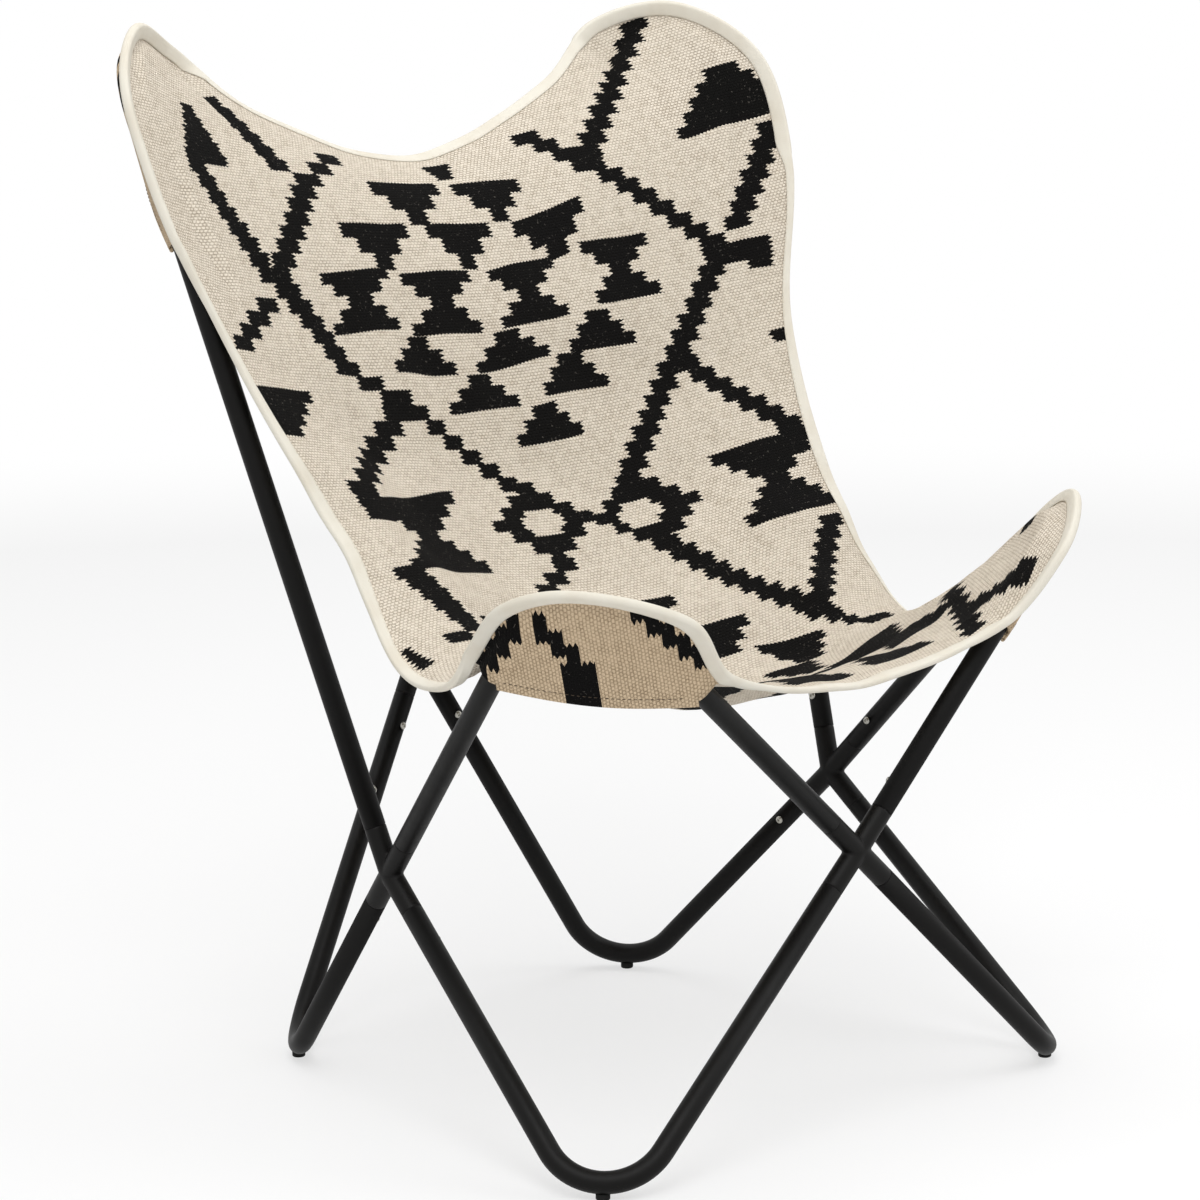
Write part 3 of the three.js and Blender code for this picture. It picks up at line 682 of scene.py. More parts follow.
    @staticmethod
    def tilted(x: Value, y: Value, shape: Wedge | Waisted) -> Value:
        """The height above a shape's own tilted rows."""
        return y - (x - shape.middle) * shape.tilt if shape.tilt else y

    @staticmethod
    def union(masks: Sequence[Value]) -> Value:
        """Where any of the masks is 1."""
        found = masks[0]
        for mask in masks[1:]:
            found = found | mask
        return found

    @staticmethod
    def band(graph: Graph, x: Value, row: Value, band: Band) -> Value:
        """The mask of a stepped band.

        Args:
            graph: The cloth's material.
            x: The place along the row.
            row: The step's height.
            band: The band.

        Returns:
            1 inside it, else 0.
        """
        slope = (band.end[0] - band.start[0]) / (band.end[1] - band.start[1])
        middle = graph.math("MULTIPLY_ADD", row, slope, band.start[0] - slope * band.start[1])
        reach = abs(band.end[1] - band.start[1]) / 2
        level = (band.end[1] + band.start[1]) / 2
        return graph.math("COMPARE", x, middle, band.half) & graph.math("COMPARE", row, level, reach)

    def wedge(self, graph: Graph, x: Value, y: Value, shape: Wedge) -> Value:
        """The mask of a stepped wedge.

        Args:
            graph: The cloth's material.
            x: The place along the row.
            y: The height above its rows.
            shape: The wedge.

        Returns:
            1 inside it, else 0.
        """
        step = (shape.top - shape.bottom) / shape.rows
        row = (self.stepped(y, shape.top, step) | (shape.bottom + step / 2)) & (shape.top - step / 2)
        slope = (shape.upper - shape.lower) / (shape.top - shape.bottom)
        half = graph.math("MULTIPLY_ADD", row, slope, shape.upper - slope * shape.top)
        inside = graph.math("COMPARE", x, shape.middle, half)
        level = (shape.top + shape.bottom) / 2
        return inside & graph.math("COMPARE", y, level, (shape.top - shape.bottom) / 2)

    def waisted(self, graph: Graph, x: Value, y: Value, shape: Waisted) -> Value:
        """The mask of a stepped hourglass or diamond.

        Args:
            graph: The cloth's material.
            x: The place along the row.
            y: The height above its rows.
            shape: The hourglass or diamond.

        Returns:
            1 inside it, else 0.
        """
        row = self.stepped(y, shape.level - self.step / 2, self.step)
        off = abs(row - shape.level) & (shape.reach - self.step / 2)
        half = graph.math("MULTIPLY_ADD", off, shape.growth, shape.half)
        inside = graph.math("COMPARE", x, shape.middle, half)
        return inside & graph.math("COMPARE", y, shape.level, shape.reach)

    def woven(
        self, graph: Graph, flat: bpy.types.NodeSocket,
        place: tuple[Value, Value], dark: Value, light: tuple,
    ) -> bpy.types.Material:
        """Dress the cloth: knobbly yarn in bricked rows, cream or black, the cream darkened between the
        knots as painted shade.

        Args:
            graph: The cloth's material.
            flat: The place on the flat cloth.
            place: The place along a row of weave and across the rows.
            dark: 1 where the yarn is black.
            light: The light yarn's colour on top, and its darker colour between the knots as painted
                shade and from knot to knot as random tone.

        Returns:
            The material.
        """
        stray, strays = self.sway
        sway = graph.noise(flat, strays, 1) - 0.5
        line = place[1] / self.knot_high + sway * stray
        along = place[0] / self.knot_wide + line.floor() * 0.5 + sway * stray
        bulge = along.ping_pong(0.5) * 2
        crown = line.ping_pong(0.5) * 2
        knot = (bulge * (2 - bulge)) * (crown * (2 - crown))
        cell = graph.node("ShaderNodeCombineXYZ", None, {0: along.floor(), 1: line.floor()})
        dice = graph.node("ShaderNodeTexWhiteNoise", None, {"Vector": cell.outputs[0]})
        tone = Value(graph, dice.outputs[0])
        rough = graph.noise(flat, self.fibre, 3)
        body = knot.ramp(0.0, self.knot_round)
        least, by_tone, by_fibre = self.knot_rise
        graph.bump(body * (least + tone * by_tone + rough * by_fibre), self.relief)
        change, lighter, clouds = self.cloud
        cloudy = (graph.noise(flat, clouds, 3) - 0.5) * change - lighter
        # Painted shade: the cream darkens in the gaps between the knots; the knot's tone, the fibres and
        # the clouds add random tone.
        shade_and_tone = (1 - body) * self.sunk_gap + tone * self.sunk_tone
        shade_and_tone = shade_and_tone + (rough - 0.5) * self.sunk_fibre + cloudy
        pale = graph.mix((shade_and_tone | 0.0) & 1.0, linear(*light[0]), linear(*light[1]))
        showing = (rough > self.speck_limits[0]) & (tone > self.speck_limits[1])
        deep = graph.mix(showing * self.speck_share, linear(*self.black), linear(*self.speck))
        graph.feed(graph.shader.inputs["Specular IOR Level"], self.shine)
        return graph.dress(base_color=graph.mix(dark, pale, deep), roughness=self.roughness)


@dataclass
class Bent:
    """A bent V: two straight legs that meet in one round bend at the crown.

    Attributes:
        side_end: Where the leg towards the side cross ends.
        middle_end: Where the leg towards the front or back cross ends.
        crown: The middle of the bend, on the centre line.
        radius: The bend's radius.
    """

    side_end: np.ndarray
    middle_end: np.ndarray
    crown: np.ndarray
    radius: float

    def __post_init__(self) -> None:
        """Find the legs' directions by repeating the fillet rule until it settles."""
        corner = self.crown.copy()
        for _ in range(60):
            self.to_side = unit(self.side_end - corner)
            self.to_middle = unit(self.middle_end - corner)
            self.half = math.acos(float(self.to_side @ self.to_middle)) / 2
            self.up = -unit(self.to_side + self.to_middle)
            corner = self.crown + self.up * (self.radius / math.sin(self.half) - self.radius)
        self.across = unit(self.to_side - self.to_middle)
        inward = np.cross(self.up, self.across)
        self.inward = -inward if inward @ self.crown > 0 else inward
        self.centre = self.crown - self.up * self.radius
        self.sweep = math.pi / 2 - self.half

    def bend_point(self, angle: float) -> np.ndarray:
        """A point of the bend's centre line, at an angle from the crown."""
        return self.centre + self.radius * (self.up * math.cos(angle) + self.across * math.sin(angle))

    def lowest(self) -> np.ndarray:
        """The lowest point of the bend's centre line."""
        turn = math.pi if self.up[2] < 0 else 0.0
        return self.bend_point(math.atan2(self.across[2], self.up[2]) + turn)

    def off(self, points: np.ndarray) -> tuple[np.ndarray, np.ndarray, np.ndarray, np.ndarray]:
        """Where points lie off the tube.

        Args:
            points: The points, in rows.

        Returns:
            The feet on the centre line, the directions out of the bend's plane curve, how far
            outside it the points are, and how far inward of its plane.
        """
        start = points - self.centre
        angle = np.arctan2(start @ self.across, start @ self.up).clip(-self.sweep, self.sweep)
        radial = np.cos(angle)[..., None] * self.up + np.sin(angle)[..., None] * self.across
        outside = (start * radial).sum(-1) - self.radius
        inward = start @ self.inward
        foot = points - radial * outside[..., None] - self.inward * inward[..., None]
        return foot, radial, outside, inward


def unit(vector: np.ndarray) -> np.ndarray:
    """Vectors of length one.

    Args:
        vector: One vector, or several in rows.

    Returns:
        The same, each divided by its length.
    """
    return vector / np.linalg.norm(vector, axis=-1, keepdims=True)


def root(value: np.ndarray) -> np.ndarray:
    """The square root, 0 for what rounding makes negative."""
    return np.sqrt(np.maximum(value, 0))


def points_of(data: bpy.types.Mesh) -> np.ndarray:
    """A mesh's points, in rows."""
    place = np.zeros(3 * len(data.vertices))
    data.vertices.foreach_get("co", place)
    return place.reshape(-1, 3)


def smooth_step(values: np.ndarray, start: float, end: float) -> np.ndarray:
    """From 0 at `start` to 1 at `end`, smooth between."""
    share = ((values - start) / (end - start)).clip(0, 1)
    return share * share * (3 - 2 * share)


def frame_at(point: np.ndarray, axis: np.ndarray) -> Matrix:
    """A place whose Z axis runs along `axis`."""
    turn = Vector(axis).to_track_quat("Z", "Y").to_matrix().to_4x4()
    return Matrix.Translation(Vector(point)) @ turn


@dataclass
class TubeFrame:
    """The steel frame: legs, loops, crosses, screws and glides."""

    fit_gap: float = 0.3 * MM
    tube_diameter: float = 19 * MM
    tube_wall: float = 1.2 * MM
    leg_bend: float = 54 * MM
    loop_bend: float = 60 * MM
    front_cross: tuple[float, float] = (-280.2 * MM, 246 * MM)
    back_cross: tuple[float, float] = (288.8 * MM, 336 * MM)
    side_cross: tuple[float, float, float] = (271 * MM, 8.3 * MM, 223 * MM)
    front_leg: tuple[float, float] = (273 * MM, -258.2 * MM)
    back_leg: tuple[float, float] = (201 * MM, 228.8 * MM)
    front_loop: tuple[float, float, float] = (290 * MM, -245.2 * MM, 486 * MM)
    back_loop: tuple[float, float, float] = (318 * MM, 272.8 * MM, 906 * MM)
    cross_arm: float = 42 * MM
    spigot_length: float = 48 * MM
    weld_size: float = 1.1 * MM
    screw_setback: float = 30 * MM
    screw_head: float = 7 * MM
    screw_height: float = 2.4 * MM
    screw_shank: float = 4 * MM
    screw_length: float = 9 * MM
    screw_rim: float = 0.22
    screw_socket: float = 0.36
    screw_socket_deep: float = 0.35
    screw_sides: int = 24
    dome_steps: int = 6
    dome_turn: float = 12.0
    glide_height: float = 4.5 * MM
    glide_diameter: float = 12 * MM
    glide_collar: float = 2.5 * MM
    glide_round: float = 1.5 * MM
    glide_stem: float = 5 * MM
    glide_stem_end: float = 6 * MM
    glide_sides: int = 32
    glide_round_steps: int = 5
    sides: int = 40
    bend_steps: int = 28
    tubes: dict[str, Bent] = field(default_factory=dict)

    def __post_init__(self) -> None:
        """Work out the eight bent tubes."""
        self.tube_radius = self.tube_diameter / 2
        self.seam = self.cross_arm + self.fit_gap
        self.leg_height = self.glide_height + self.fit_gap + self.tube_radius
        front = np.array([0.0, *self.front_cross])
        back = np.array([0.0, *self.back_cross])
        self.crosses = {"front": front, "back": back}
        for side in Side:
            flip = np.array([side.value, 1.0, 1.0])
            beside = np.array(self.side_cross) * flip
            self.crosses[side.word] = beside
            self.tubes[f"leg_front_{side.word}"] = self.leg(beside, front, self.front_leg, side)
            self.tubes[f"leg_back_{side.word}"] = self.leg(beside, back, self.back_leg, side)
            front_crown = np.array(self.front_loop) * flip
            back_crown = np.array(self.back_loop) * flip
            self.tubes[f"loop_front_{side.word}"] = Bent(beside, front, front_crown, self.loop_bend)
            self.tubes[f"loop_back_{side.word}"] = Bent(beside, back, back_crown, self.loop_bend)

    def leg(self, beside: np.ndarray, middle: np.ndarray, plan: tuple[float, float], side: Side) -> Bent:
        """A leg whose bend stands on its glide.

        Args:
            beside: The side cross.
            middle: The front or back cross.
            plan: The crown's place on plan, on the right.
            side: The leg's side.

        Returns:
            The bent tube.
        """
        crown = np.array([side.value * plan[0], plan[1], self.leg_height])
        bent = Bent(beside, middle, crown.copy(), self.leg_bend)
        for _ in range(12):
            crown[2] += self.leg_height - bent.lowest()[2]
            bent = Bent(beside, middle, crown.copy(), self.leg_bend)
        return bent

    def tube_mesh(self, bent: Bent) -> bmesh.types.BMesh:
        """A bent tube: a ring drawn along one leg, spun round the bend and drawn along the other.

        Args:
            bent: The tube's centre line.

        Returns:
            The closed wall of the tube.
        """
        mesh = bmesh.new()
        start = bent.side_end - bent.to_side * self.seam
        place = frame_at(start, -bent.to_side)
        made = bmesh.ops.create_circle(mesh, segments=self.sides, radius=self.tube_radius, matrix=place)
        ring = list({edge for vert in made["verts"] for edge in vert.link_edges})
        bend_start = bent.bend_point(bent.sweep)
        ring = self.drawn(mesh, ring, bend_start - start)
        axis = np.cross(bent.across, bent.up)
        spun = bmesh.ops.spin(
            mesh, geom=ring, cent=Vector(bent.centre), axis=Vector(axis), dvec=Vector(),
            angle=2 * bent.sweep, steps=self.bend_steps, use_duplicate=False,
        )
        ring = [item for item in spun["geom_last"] if isinstance(item, bmesh.types.BMEdge)]
        finish = bent.middle_end - bent.to_middle * self.seam
        self.drawn(mesh, ring, finish - bent.bend_point(-bent.sweep))
        bmesh.ops.remove_doubles(mesh, verts=mesh.verts, dist=0.01 * MM)
        bmesh.ops.recalc_face_normals(mesh, faces=mesh.faces)
        bmesh.ops.solidify(mesh, geom=mesh.faces[:], thickness=self.tube_wall)
        return mesh

    @staticmethod
    def drawn(mesh: bmesh.types.BMesh, ring: list, way: np.ndarray) -> list:
        """Extrude a ring of edges and move the new ring.

        Args:
            mesh: The mesh that holds the ring.
            ring: The ring's edges.
            way: How far the new ring moves.

        Returns:
            The new ring's edges.
        """
        made = bmesh.ops.extrude_edge_only(mesh, edges=ring)["geom"]
        verts = [item for item in made if isinstance(item, bmesh.types.BMVert)]
        bmesh.ops.translate(mesh, verts=verts, vec=Vector(way))
        new = set(verts)
        edges = [item for item in made if isinstance(item, bmesh.types.BMEdge)]
        return [edge for edge in edges if edge.verts[0] in new and edge.verts[1] in new]

    def arms(self, centre: np.ndarray) -> list[np.ndarray]:
        """The directions of a cross's arms.

        Args:
            centre: The cross.

        Returns:
            One direction for each tube that ends there.
        """
        found = []
        for bent in self.tubes.values():
            if np.allclose(bent.side_end, centre):
                found.append(-bent.to_side)
            if np.allclose(bent.middle_end, centre):
                found.append(-bent.to_middle)
        return found

    def screw_places(self) -> dict[str, tuple[np.ndarray, np.ndarray]]:
        """Where each screw's axis meets its tube's axis, and the way that its head faces."""
        places = {}
        for name, bent in self.tubes.items():
            for word, end, towards in (
                ("side", bent.side_end, bent.to_side), ("middle", bent.middle_end, bent.to_middle)
            ):
                on_axis = end - towards * (self.seam + self.screw_setback)
                outward = np.array([-on_axis[0], -on_axis[1], 0.0])
                outward -= towards * (outward @ towards)
                places[f"screw_{name}_{word}"] = (on_axis, unit(outward))
        return places

    def build(
        self, paint: bpy.types.Material, plate: bpy.types.Material, rubber: bpy.types.Material,
    ) -> None:
        """Build every piece of the frame.

        Args:
            paint: The tubes' and crosses' material.
            plate: The screws' material.
            rubber: The glides' material.
        """
        for name, bent in self.tubes.items():
            tube = publish(f"{name}_tube", self.tube_mesh(bent), paint)
            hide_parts(name)
            if name.startswith("leg"):
                glide = publish(name.replace("leg", "foot"), self.glide_mesh(bent), rubber)
                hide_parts(name.replace("leg", "glide"))
        for name, centre in self.crosses.items():
            cross = publish(f"cross_{name}_welded", self.cross_mesh(centre), paint)
            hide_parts(f"cross_{name}")
            self.weld(cross)
        for name, (on_axis, outward) in self.screw_places().items():
            screw = publish(f"{name}_domed", self.screw_mesh(on_axis, outward), plate)
            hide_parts(name)

    def cross_mesh(self, centre: np.ndarray) -> bmesh.types.BMesh:
        """Four arms with their spigots, each a closed turned shape, meeting at the cross.

        Args:
            centre: Where the axes meet.

        Returns:
            The arms, still apart.
        """
        mesh = bmesh.new()
        spigot = self.tube_radius - self.tube_wall - self.fit_gap
        end = self.cross_arm + self.spigot_length
        for direction in self.arms(centre):
            lathe(mesh, [
                (0, -self.tube_radius / 3), (self.tube_radius, -self.tube_radius / 3),
                (self.tube_radius, self.cross_arm), (spigot, self.cross_arm), (spigot, end), (0, end),
            ], self.sides, frame_at(centre, direction))
        return mesh

    def weld(self, cross: bpy.types.Object) -> None:
        """Fuse a cross's arms, with a soft fillet where they meet.

        Args:
            cross: The cross's object.
        """
        fuse = cross.modifiers.new("weld", "REMESH")
        fuse.mode = "VOXEL"
        fuse.voxel_size = self.weld_size
        fuse.use_smooth_shade = True
        ease = cross.modifiers.new("fillet", "SMOOTH")
        ease.factor = 0.5
        ease.iterations = 3

    def screw_mesh(self, on_axis: np.ndarray, outward: np.ndarray) -> bmesh.types.BMesh:
        """A domed screw with a round socket in its head.

        Args:
            on_axis: Where its axis meets the tube's.
            outward: The way that the head faces.

        Returns:
            The screw.
        """
        seat = self.tube_radius + self.fit_gap
        head = self.screw_head / 2
        shank = self.screw_shank / 2
        end = seat - self.screw_length
        top = seat + self.screw_height
        floor = seat + self.screw_socket_deep * self.screw_height
        profile = [(0, end), (shank, end), (shank, seat), (head, seat)]
        rim = self.screw_rim * self.screw_height
        for step in range(self.dome_steps):
            angle = math.radians(self.dome_turn * step)
            radius = head * math.cos(angle)
            profile.append((radius, seat + rim + (self.screw_height - rim) * math.sin(angle)))
        socket = self.screw_socket * head
        profile += [(socket, top), (socket * 0.94, top - 0.15 * MM), (socket * 0.9, floor)]
        profile.append((0, floor - 0.05 * self.screw_height))
        mesh = bmesh.new()
        lathe(mesh, profile, self.screw_sides, frame_at(on_axis, outward))
        return mesh

    def glide_mesh(self, bent: Bent) -> bmesh.types.BMesh:
        """A rubber foot: a rounded cap under the tube with a stem through its wall.

        Args:
            bent: The leg's tube.

        Returns:
            The foot.
        """
        low = bent.lowest()
        radius = self.glide_diameter / 2
        top = self.glide_height + 0.4 * self.glide_collar
        profile = [(0, 0), (radius - self.glide_round, 0)]
        for step in range(1, self.glide_round_steps + 1):
            angle = math.pi / 2 * (1 - step / self.glide_round_steps)
            profile.append((
                radius - self.glide_round * (1 - math.cos(angle)),
                self.glide_round * (1 - math.sin(angle)),
            ))
        stem = self.glide_stem / 2
        end = low[2] - self.glide_stem_end
        profile += [(radius, top), (radius * 0.97, top + 0.2 * MM), (stem, top), (stem, end), (0, end)]
        mesh = bmesh.new()
        lathe(mesh, profile, self.glide_sides, Matrix.Translation((low[0], low[1], 0)))
        return mesh


def lathe(
    mesh: bmesh.types.BMesh, profile: Sequence[tuple[float, float]], sides: int, place: Matrix,
) -> None:
    """Spin a profile of (radius, height) pairs that starts and ends on the axis.

    Args:
        mesh: The mesh that gets the shape.
        profile: The profile, from the bottom up.
        sides: How many steps round.
        place: Where the axis stands.
    """
    verts = [mesh.verts.new((radius, 0, height)) for radius, height in profile]
    edges = [mesh.edges.new(pair) for pair in zip(verts, verts[1:])]
    spun = bmesh.ops.spin(
        mesh, geom=verts + edges, cent=(0, 0, 0), axis=(0, 0, 1), dvec=(0, 0, 0),
        angle=2 * math.pi, steps=sides, use_merge=True, use_duplicate=False,
    )
    made = {item for item in spun["geom_last"] if isinstance(item, bmesh.types.BMVert)} | set(verts)
    shape = connected(made)
    bmesh.ops.remove_doubles(mesh, verts=list(shape), dist=0.002 * MM)
    shape = connected({vert for vert in shape if vert.is_valid})
    faces = list({face for vert in shape for face in vert.link_faces})
    bmesh.ops.recalc_face_normals(mesh, faces=faces)
    bmesh.ops.transform(mesh, matrix=place, verts=list(shape))


def connected(verts: set) -> set:
    """All the vertices that edges join to some vertices.

    Args:
        verts: Where the search starts.

    Returns:
        The vertices found, those given among them.
    """
    found = set(verts)
    waiting = list(verts)
    while waiting:
        vert = waiting.pop()
        for edge in vert.link_edges:
            other = edge.other_vert(vert)
            if other not in found:
                found.add(other)
                waiting.append(other)
    return found


@dataclass
class Sling:
    """The kilim sling: its rim, the panel, the folded binding and the four corner pockets."""

    frame: TubeFrame
    cloth: float = 1.8 * MM
    binding_width: float = 12 * MM
    binding_cloth: float = 0.8 * MM
    cloth_ease: float = 1.8 * MM
    seam_ease: float = 0.6 * MM
    binding_ease: float = 0.95 * MM
    back_lobe: tuple = ((-116, -89, 48), (-71, -18, 17), (4, 15, 13), (88, -21, 5), (128, -126, 6))
    right_back_lobe: tuple = ((-116, -82, 48), (-73, -9, 17), (4, 17, 13), (88, -21, 5), (128, -126, 6))
    front_lobe: tuple = (
        (112, -94, 7), (89, -57, 11), (55, 2, -1), (3, 20, -8), (-92, -22, -8), (-118, -102, 1),
    )
    right_front_lobe: tuple = (
        (117, -107, 3), (96, -72, 6), (55, 5, 4), (3, 25, 1), (-92, -20, -6), (-118, -102, 1),
    )
    back_tip: int = 2
    front_tip: int = 3
    side_hang: tuple = ((0.3, 28, 43, 27), (0.58, 49, 34, 75), (0.8, 22, 13, 76))
    right_side_hang: tuple = ((0.3, 26, 45, 34), (0.58, 33, 34, 93), (0.8, 15, 12, 106))
    back_dip: float = 55 * MM
    back_forward: float = 9 * MM
    front_dip: float = 31 * MM
    front_backward: float = 15 * MM
    seat_rise: float = 76 * MM
    seat_place: float = 2.3
    lobe_fade: float = 3.0
    flange_near: float = 53 * MM
    flange_far: float = 70 * MM
    past_tube: float = 16 * MM
    past_pocket_hold: float = 0.18
    back_pocket: tuple[float, float] = (240 * MM, 145 * MM)
    front_pocket: tuple[float, float] = (165 * MM, 215 * MM)
    pocket_leave: float = 1.2 * MM
    back_hem: tuple[float, float] = (3 * MM, 14 * MM)
    front_hem: tuple[float, float] = (6 * MM, 9 * MM)
    key_rows: tuple[float, ...] = (0, 12 * MM, 20 * MM, 29 * MM, 42 * MM)
    row_steps: tuple[int, ...] = (4, 3, 3, 3)
    inner_rings: int = 44
    coarse: int = 72
    finer: int = 4
    arc_samples: int = 60
    probe_depth: float = 0.4
    probe_steps: int = 40
    latest_touch: float = math.radians(78)
    leave_share: float = 0.6
    flat_passes: int = 30
    tape_finer: int = 3
    pucker: float = 0.12 * MM
    pucker_waves: tuple = ((1.7, 0.0, 1.0), (0.83, 1.1, 0.6))
    tape_gap: float = 0.1 * MM
    tape_shares: tuple[float, ...] = (0, 0.12, 0.3, 0.5, 0.75, 1.0)
    fold_steps: int = 8
    wave_height: float = 2.0 * MM
    waves: tuple = (((41, 17, 23), (-29, 37, 11), 1.3, 1.0), ((83, 0, 59), (0, 71, -47), 0.7, 0.5))
    fold_wave: tuple[float, float, float] = (5.0, 45.0, 77.4)
    fold_share: float = 0.6
    taut_share: float = 0.7
    wave_clear: tuple[float, float] = (30 * MM, 85 * MM)
    fold_reach: float = 70 * MM
    taut_heights: tuple[float, float] = (680 * MM, 780 * MM)
    thread: float = 0.7 * MM
    stitch_length: float = 3.4 * MM
    stitch_pitch: float = 4.6 * MM
    stitch_inset: float = 1.7 * MM
    hem_fold: float = 11 * MM
    hem_most: float = 0.8
    hem_sewn: float = 0.85
    hem_round: float = 0.55
    hem_steps: int = 4
    sewn_steps: int = 3
    wrap_steps: int = 8
    apron_steps: int = 14

    def __post_init__(self) -> None:
        """Lay the rim round the loops and part it into its edges."""
        self.spokes = self.coarse * self.finer
        self.off_tube = self.frame.tube_radius + self.frame.fit_gap + self.cloth_ease + self.cloth / 2
        self.seam_off_tube = self.off_tube + self.binding_width / 2
        self.pocket_depth = self.cloth + self.seam_ease
        tubes = self.frame.tubes.items()
        self.loops = {name[5:]: bent for name, bent in tubes if name.startswith("loop")}
        left = self.half_rim(Side.LEFT, self.back_lobe, self.side_hang, self.front_lobe)
        right_lines = (self.right_back_lobe, self.right_side_hang, self.right_front_lobe)
        right = self.half_rim(Side.RIGHT, *right_lines)
        back, front = left[0], left[-1]
        back_middle = np.array([0.0, back[1] - self.back_forward, back[2] - self.back_dip])
        front_middle = np.array([0.0, front[1] + self.front_backward, front[2] - self.front_dip])
        self.points = np.array([back_middle, *left, front_middle, *reversed(right)])
        count = len(self.points)
        self.marks = np.linspace(0, 1, count * self.arc_samples + 1)
        steps = np.linalg.norm(np.diff(self.curve(self.marks), axis=0), axis=1)
        self.lengths = np.concatenate([[0.0], np.cumsum(steps)])
        self.length = self.lengths[-1]
        self.front_length = self.lengths[count // 2 * self.arc_samples]
        back_tip = 1 + self.back_tip
        front_tip = 1 + len(self.back_lobe) + len(self.side_hang) + self.front_tip
        tips = np.array([back_tip, front_tip, count - front_tip, count - back_tip])
        self.tips = self.lengths[tips * self.arc_samples]
        self.corners = self.points[tips]

    def half_rim(
        self, side: Side, back_lobe: tuple, side_hang: tuple, front_lobe: tuple,
    ) -> list[np.ndarray]:
        """One side's rim points, from the back to the front.

        Args:
            side: The side.
            back_lobe: The back lobe's places.
            side_hang: The hanging points between the lobes: a share of the way from the back lobe to the
                front one, then millimetres inward, backward and down.
            front_lobe: The front lobe's places.

        Returns:
            The points.
        """
        back = [self.lobe_point(self.loops[f"back_{side.word}"], place) for place in back_lobe]
        front = [self.lobe_point(self.loops[f"front_{side.word}"], place) for place in front_lobe]
        hang = []
        for share, inward, backward, drop in side_hang:
            way = np.array([-side.value * inward, backward, -drop]) * MM
            hang.append(back[-1] + (front[0] - back[-1]) * share + way)
        return [*back, *hang, *front]

    def lobe_point(self, loop: Bent, place: tuple[float, float, float]) -> np.ndarray:
        """A rim point near a loop's crown.

        Args:
            loop: The loop.
            place: Millimetres towards the side cross, past the crown's top, and off the loop's plane.

        Returns:
            The point.
        """
        across, beyond, inward = (part * MM for part in place)
        return (
            loop.crown + loop.across * across
            + loop.up * (self.frame.tube_radius + beyond) + loop.inward * inward
        )

    def curve(self, marks: np.ndarray) -> np.ndarray:
        """The closed smooth curve through the rim's points.

        Args:
            marks: Places along it, from 0 to 1.

        Returns:
            The points there.
        """
        count = len(self.points)
        place = (marks % 1.0) * count
        index = np.floor(place).astype(int) % count
        share = (place - np.floor(place))[:, None]
        before, start, end, after = (self.points[(index + shift) % count] for shift in (-1, 0, 1, 2))
        return centripetal(before, start, end, after, share)

    def at_length(self, length: np.ndarray) -> np.ndarray:
        """Points of the rim by their length along it, from the back's middle to the left."""
        return self.curve(np.interp(np.asarray(length) % self.length, self.lengths, self.marks))

    def spanned(self, u: np.ndarray, v: np.ndarray) -> np.ndarray:
        """The cloth over its four edges, held higher where the seat carries the sitter.

        Args:
            u: From left (-1) to right (1).
            v: From front (-1) to back (1).

        Returns:
            The points.
        """
        tips = self.tips
        back = self.at_length(-u * np.where(u < 0, tips[0], self.length - tips[3]))
        halves = np.where(u < 0, self.front_length - tips[1], tips[2] - self.front_length)
        front = self.at_length(self.front_length + u * halves)
        down = (1 - v) / 2
        left = self.at_length(tips[0] + down * (tips[1] - tips[0]))
        right = self.at_length(tips[3] - down * (tips[3] - tips[2]))
        u_column, v_column = u[:, None], v[:, None]
        points = back * (1 + v_column) / 2 + front * (1 - v_column) / 2
        points += left * (1 - u_column) / 2 + right * (1 + u_column) / 2
        for corner, (u_sign, v_sign) in zip(self.corners, ((-1, 1), (-1, -1), (1, -1), (1, 1))):
            points -= (1 + u_sign * u_column) * (1 + v_sign * v_column) / 4 * corner
        back_left, front_left, front_right, back_right = self.corners
        front_middle = self.points[len(self.points) // 2]
        edges = (
            (back, back_left, back_right, self.points[0], (1 + v) / 2),
            (front, front_left, front_right, front_middle, (1 - v) / 2),
        )
        for edge, start, end, middle, near in edges:
            plain = start * (1 - u_column) / 2 + end * (1 + u_column) / 2
            plain += (middle - (start + end) / 2) * (1 - u_column ** 2)
            points -= (edge - plain) * (near - near ** self.lobe_fade)[:, None]
        rise = np.sin(math.pi * ((1 - v) / 2) ** self.seat_place) ** 2
        points[:, 2] += self.seat_rise * (1 - u ** 4) * rise
        return points

    def draped(self, u: np.ndarray, v: np.ndarray) -> np.ndarray:
        """The spanned cloth, laid over each loop that it would cut."""
        points = self.spanned(u, v)
        for loop in self.loops.values():
            _, _, outside, inward = loop.off(points)
            past = np.maximum(outside, 0) / self.seam_off_tube
            lift = self.off_tube * (1 - past * past) - inward
            eased = (lift + np.hypot(lift, self.cloth_ease)) / 2
            points = points + loop.inward * eased[:, None]
        return points

    def at(self, radius: np.ndarray, angle: np.ndarray) -> np.ndarray:
        """A point of the cloth on a disc whose edge is the rim.

        Args:
            radius: From 0 at the middle to 1 at the rim.
            angle: Round the disc, a quarter turn at the back's middle.

        Returns:
            The points.
        """
        x = radius * np.cos(angle)
        y = radius * np.sin(angle)
        stretch = 2 * math.sqrt(2)
        wide = 2 + x * x - y * y
        tall = 2 - x * x + y * y
        u = (root(wide + stretch * x) - root(wide - stretch * x)) / 2
        v = (root(tall + stretch * y) - root(tall - stretch * y)) / 2
        return self.draped(u.clip(-1, 1), v.clip(-1, 1))

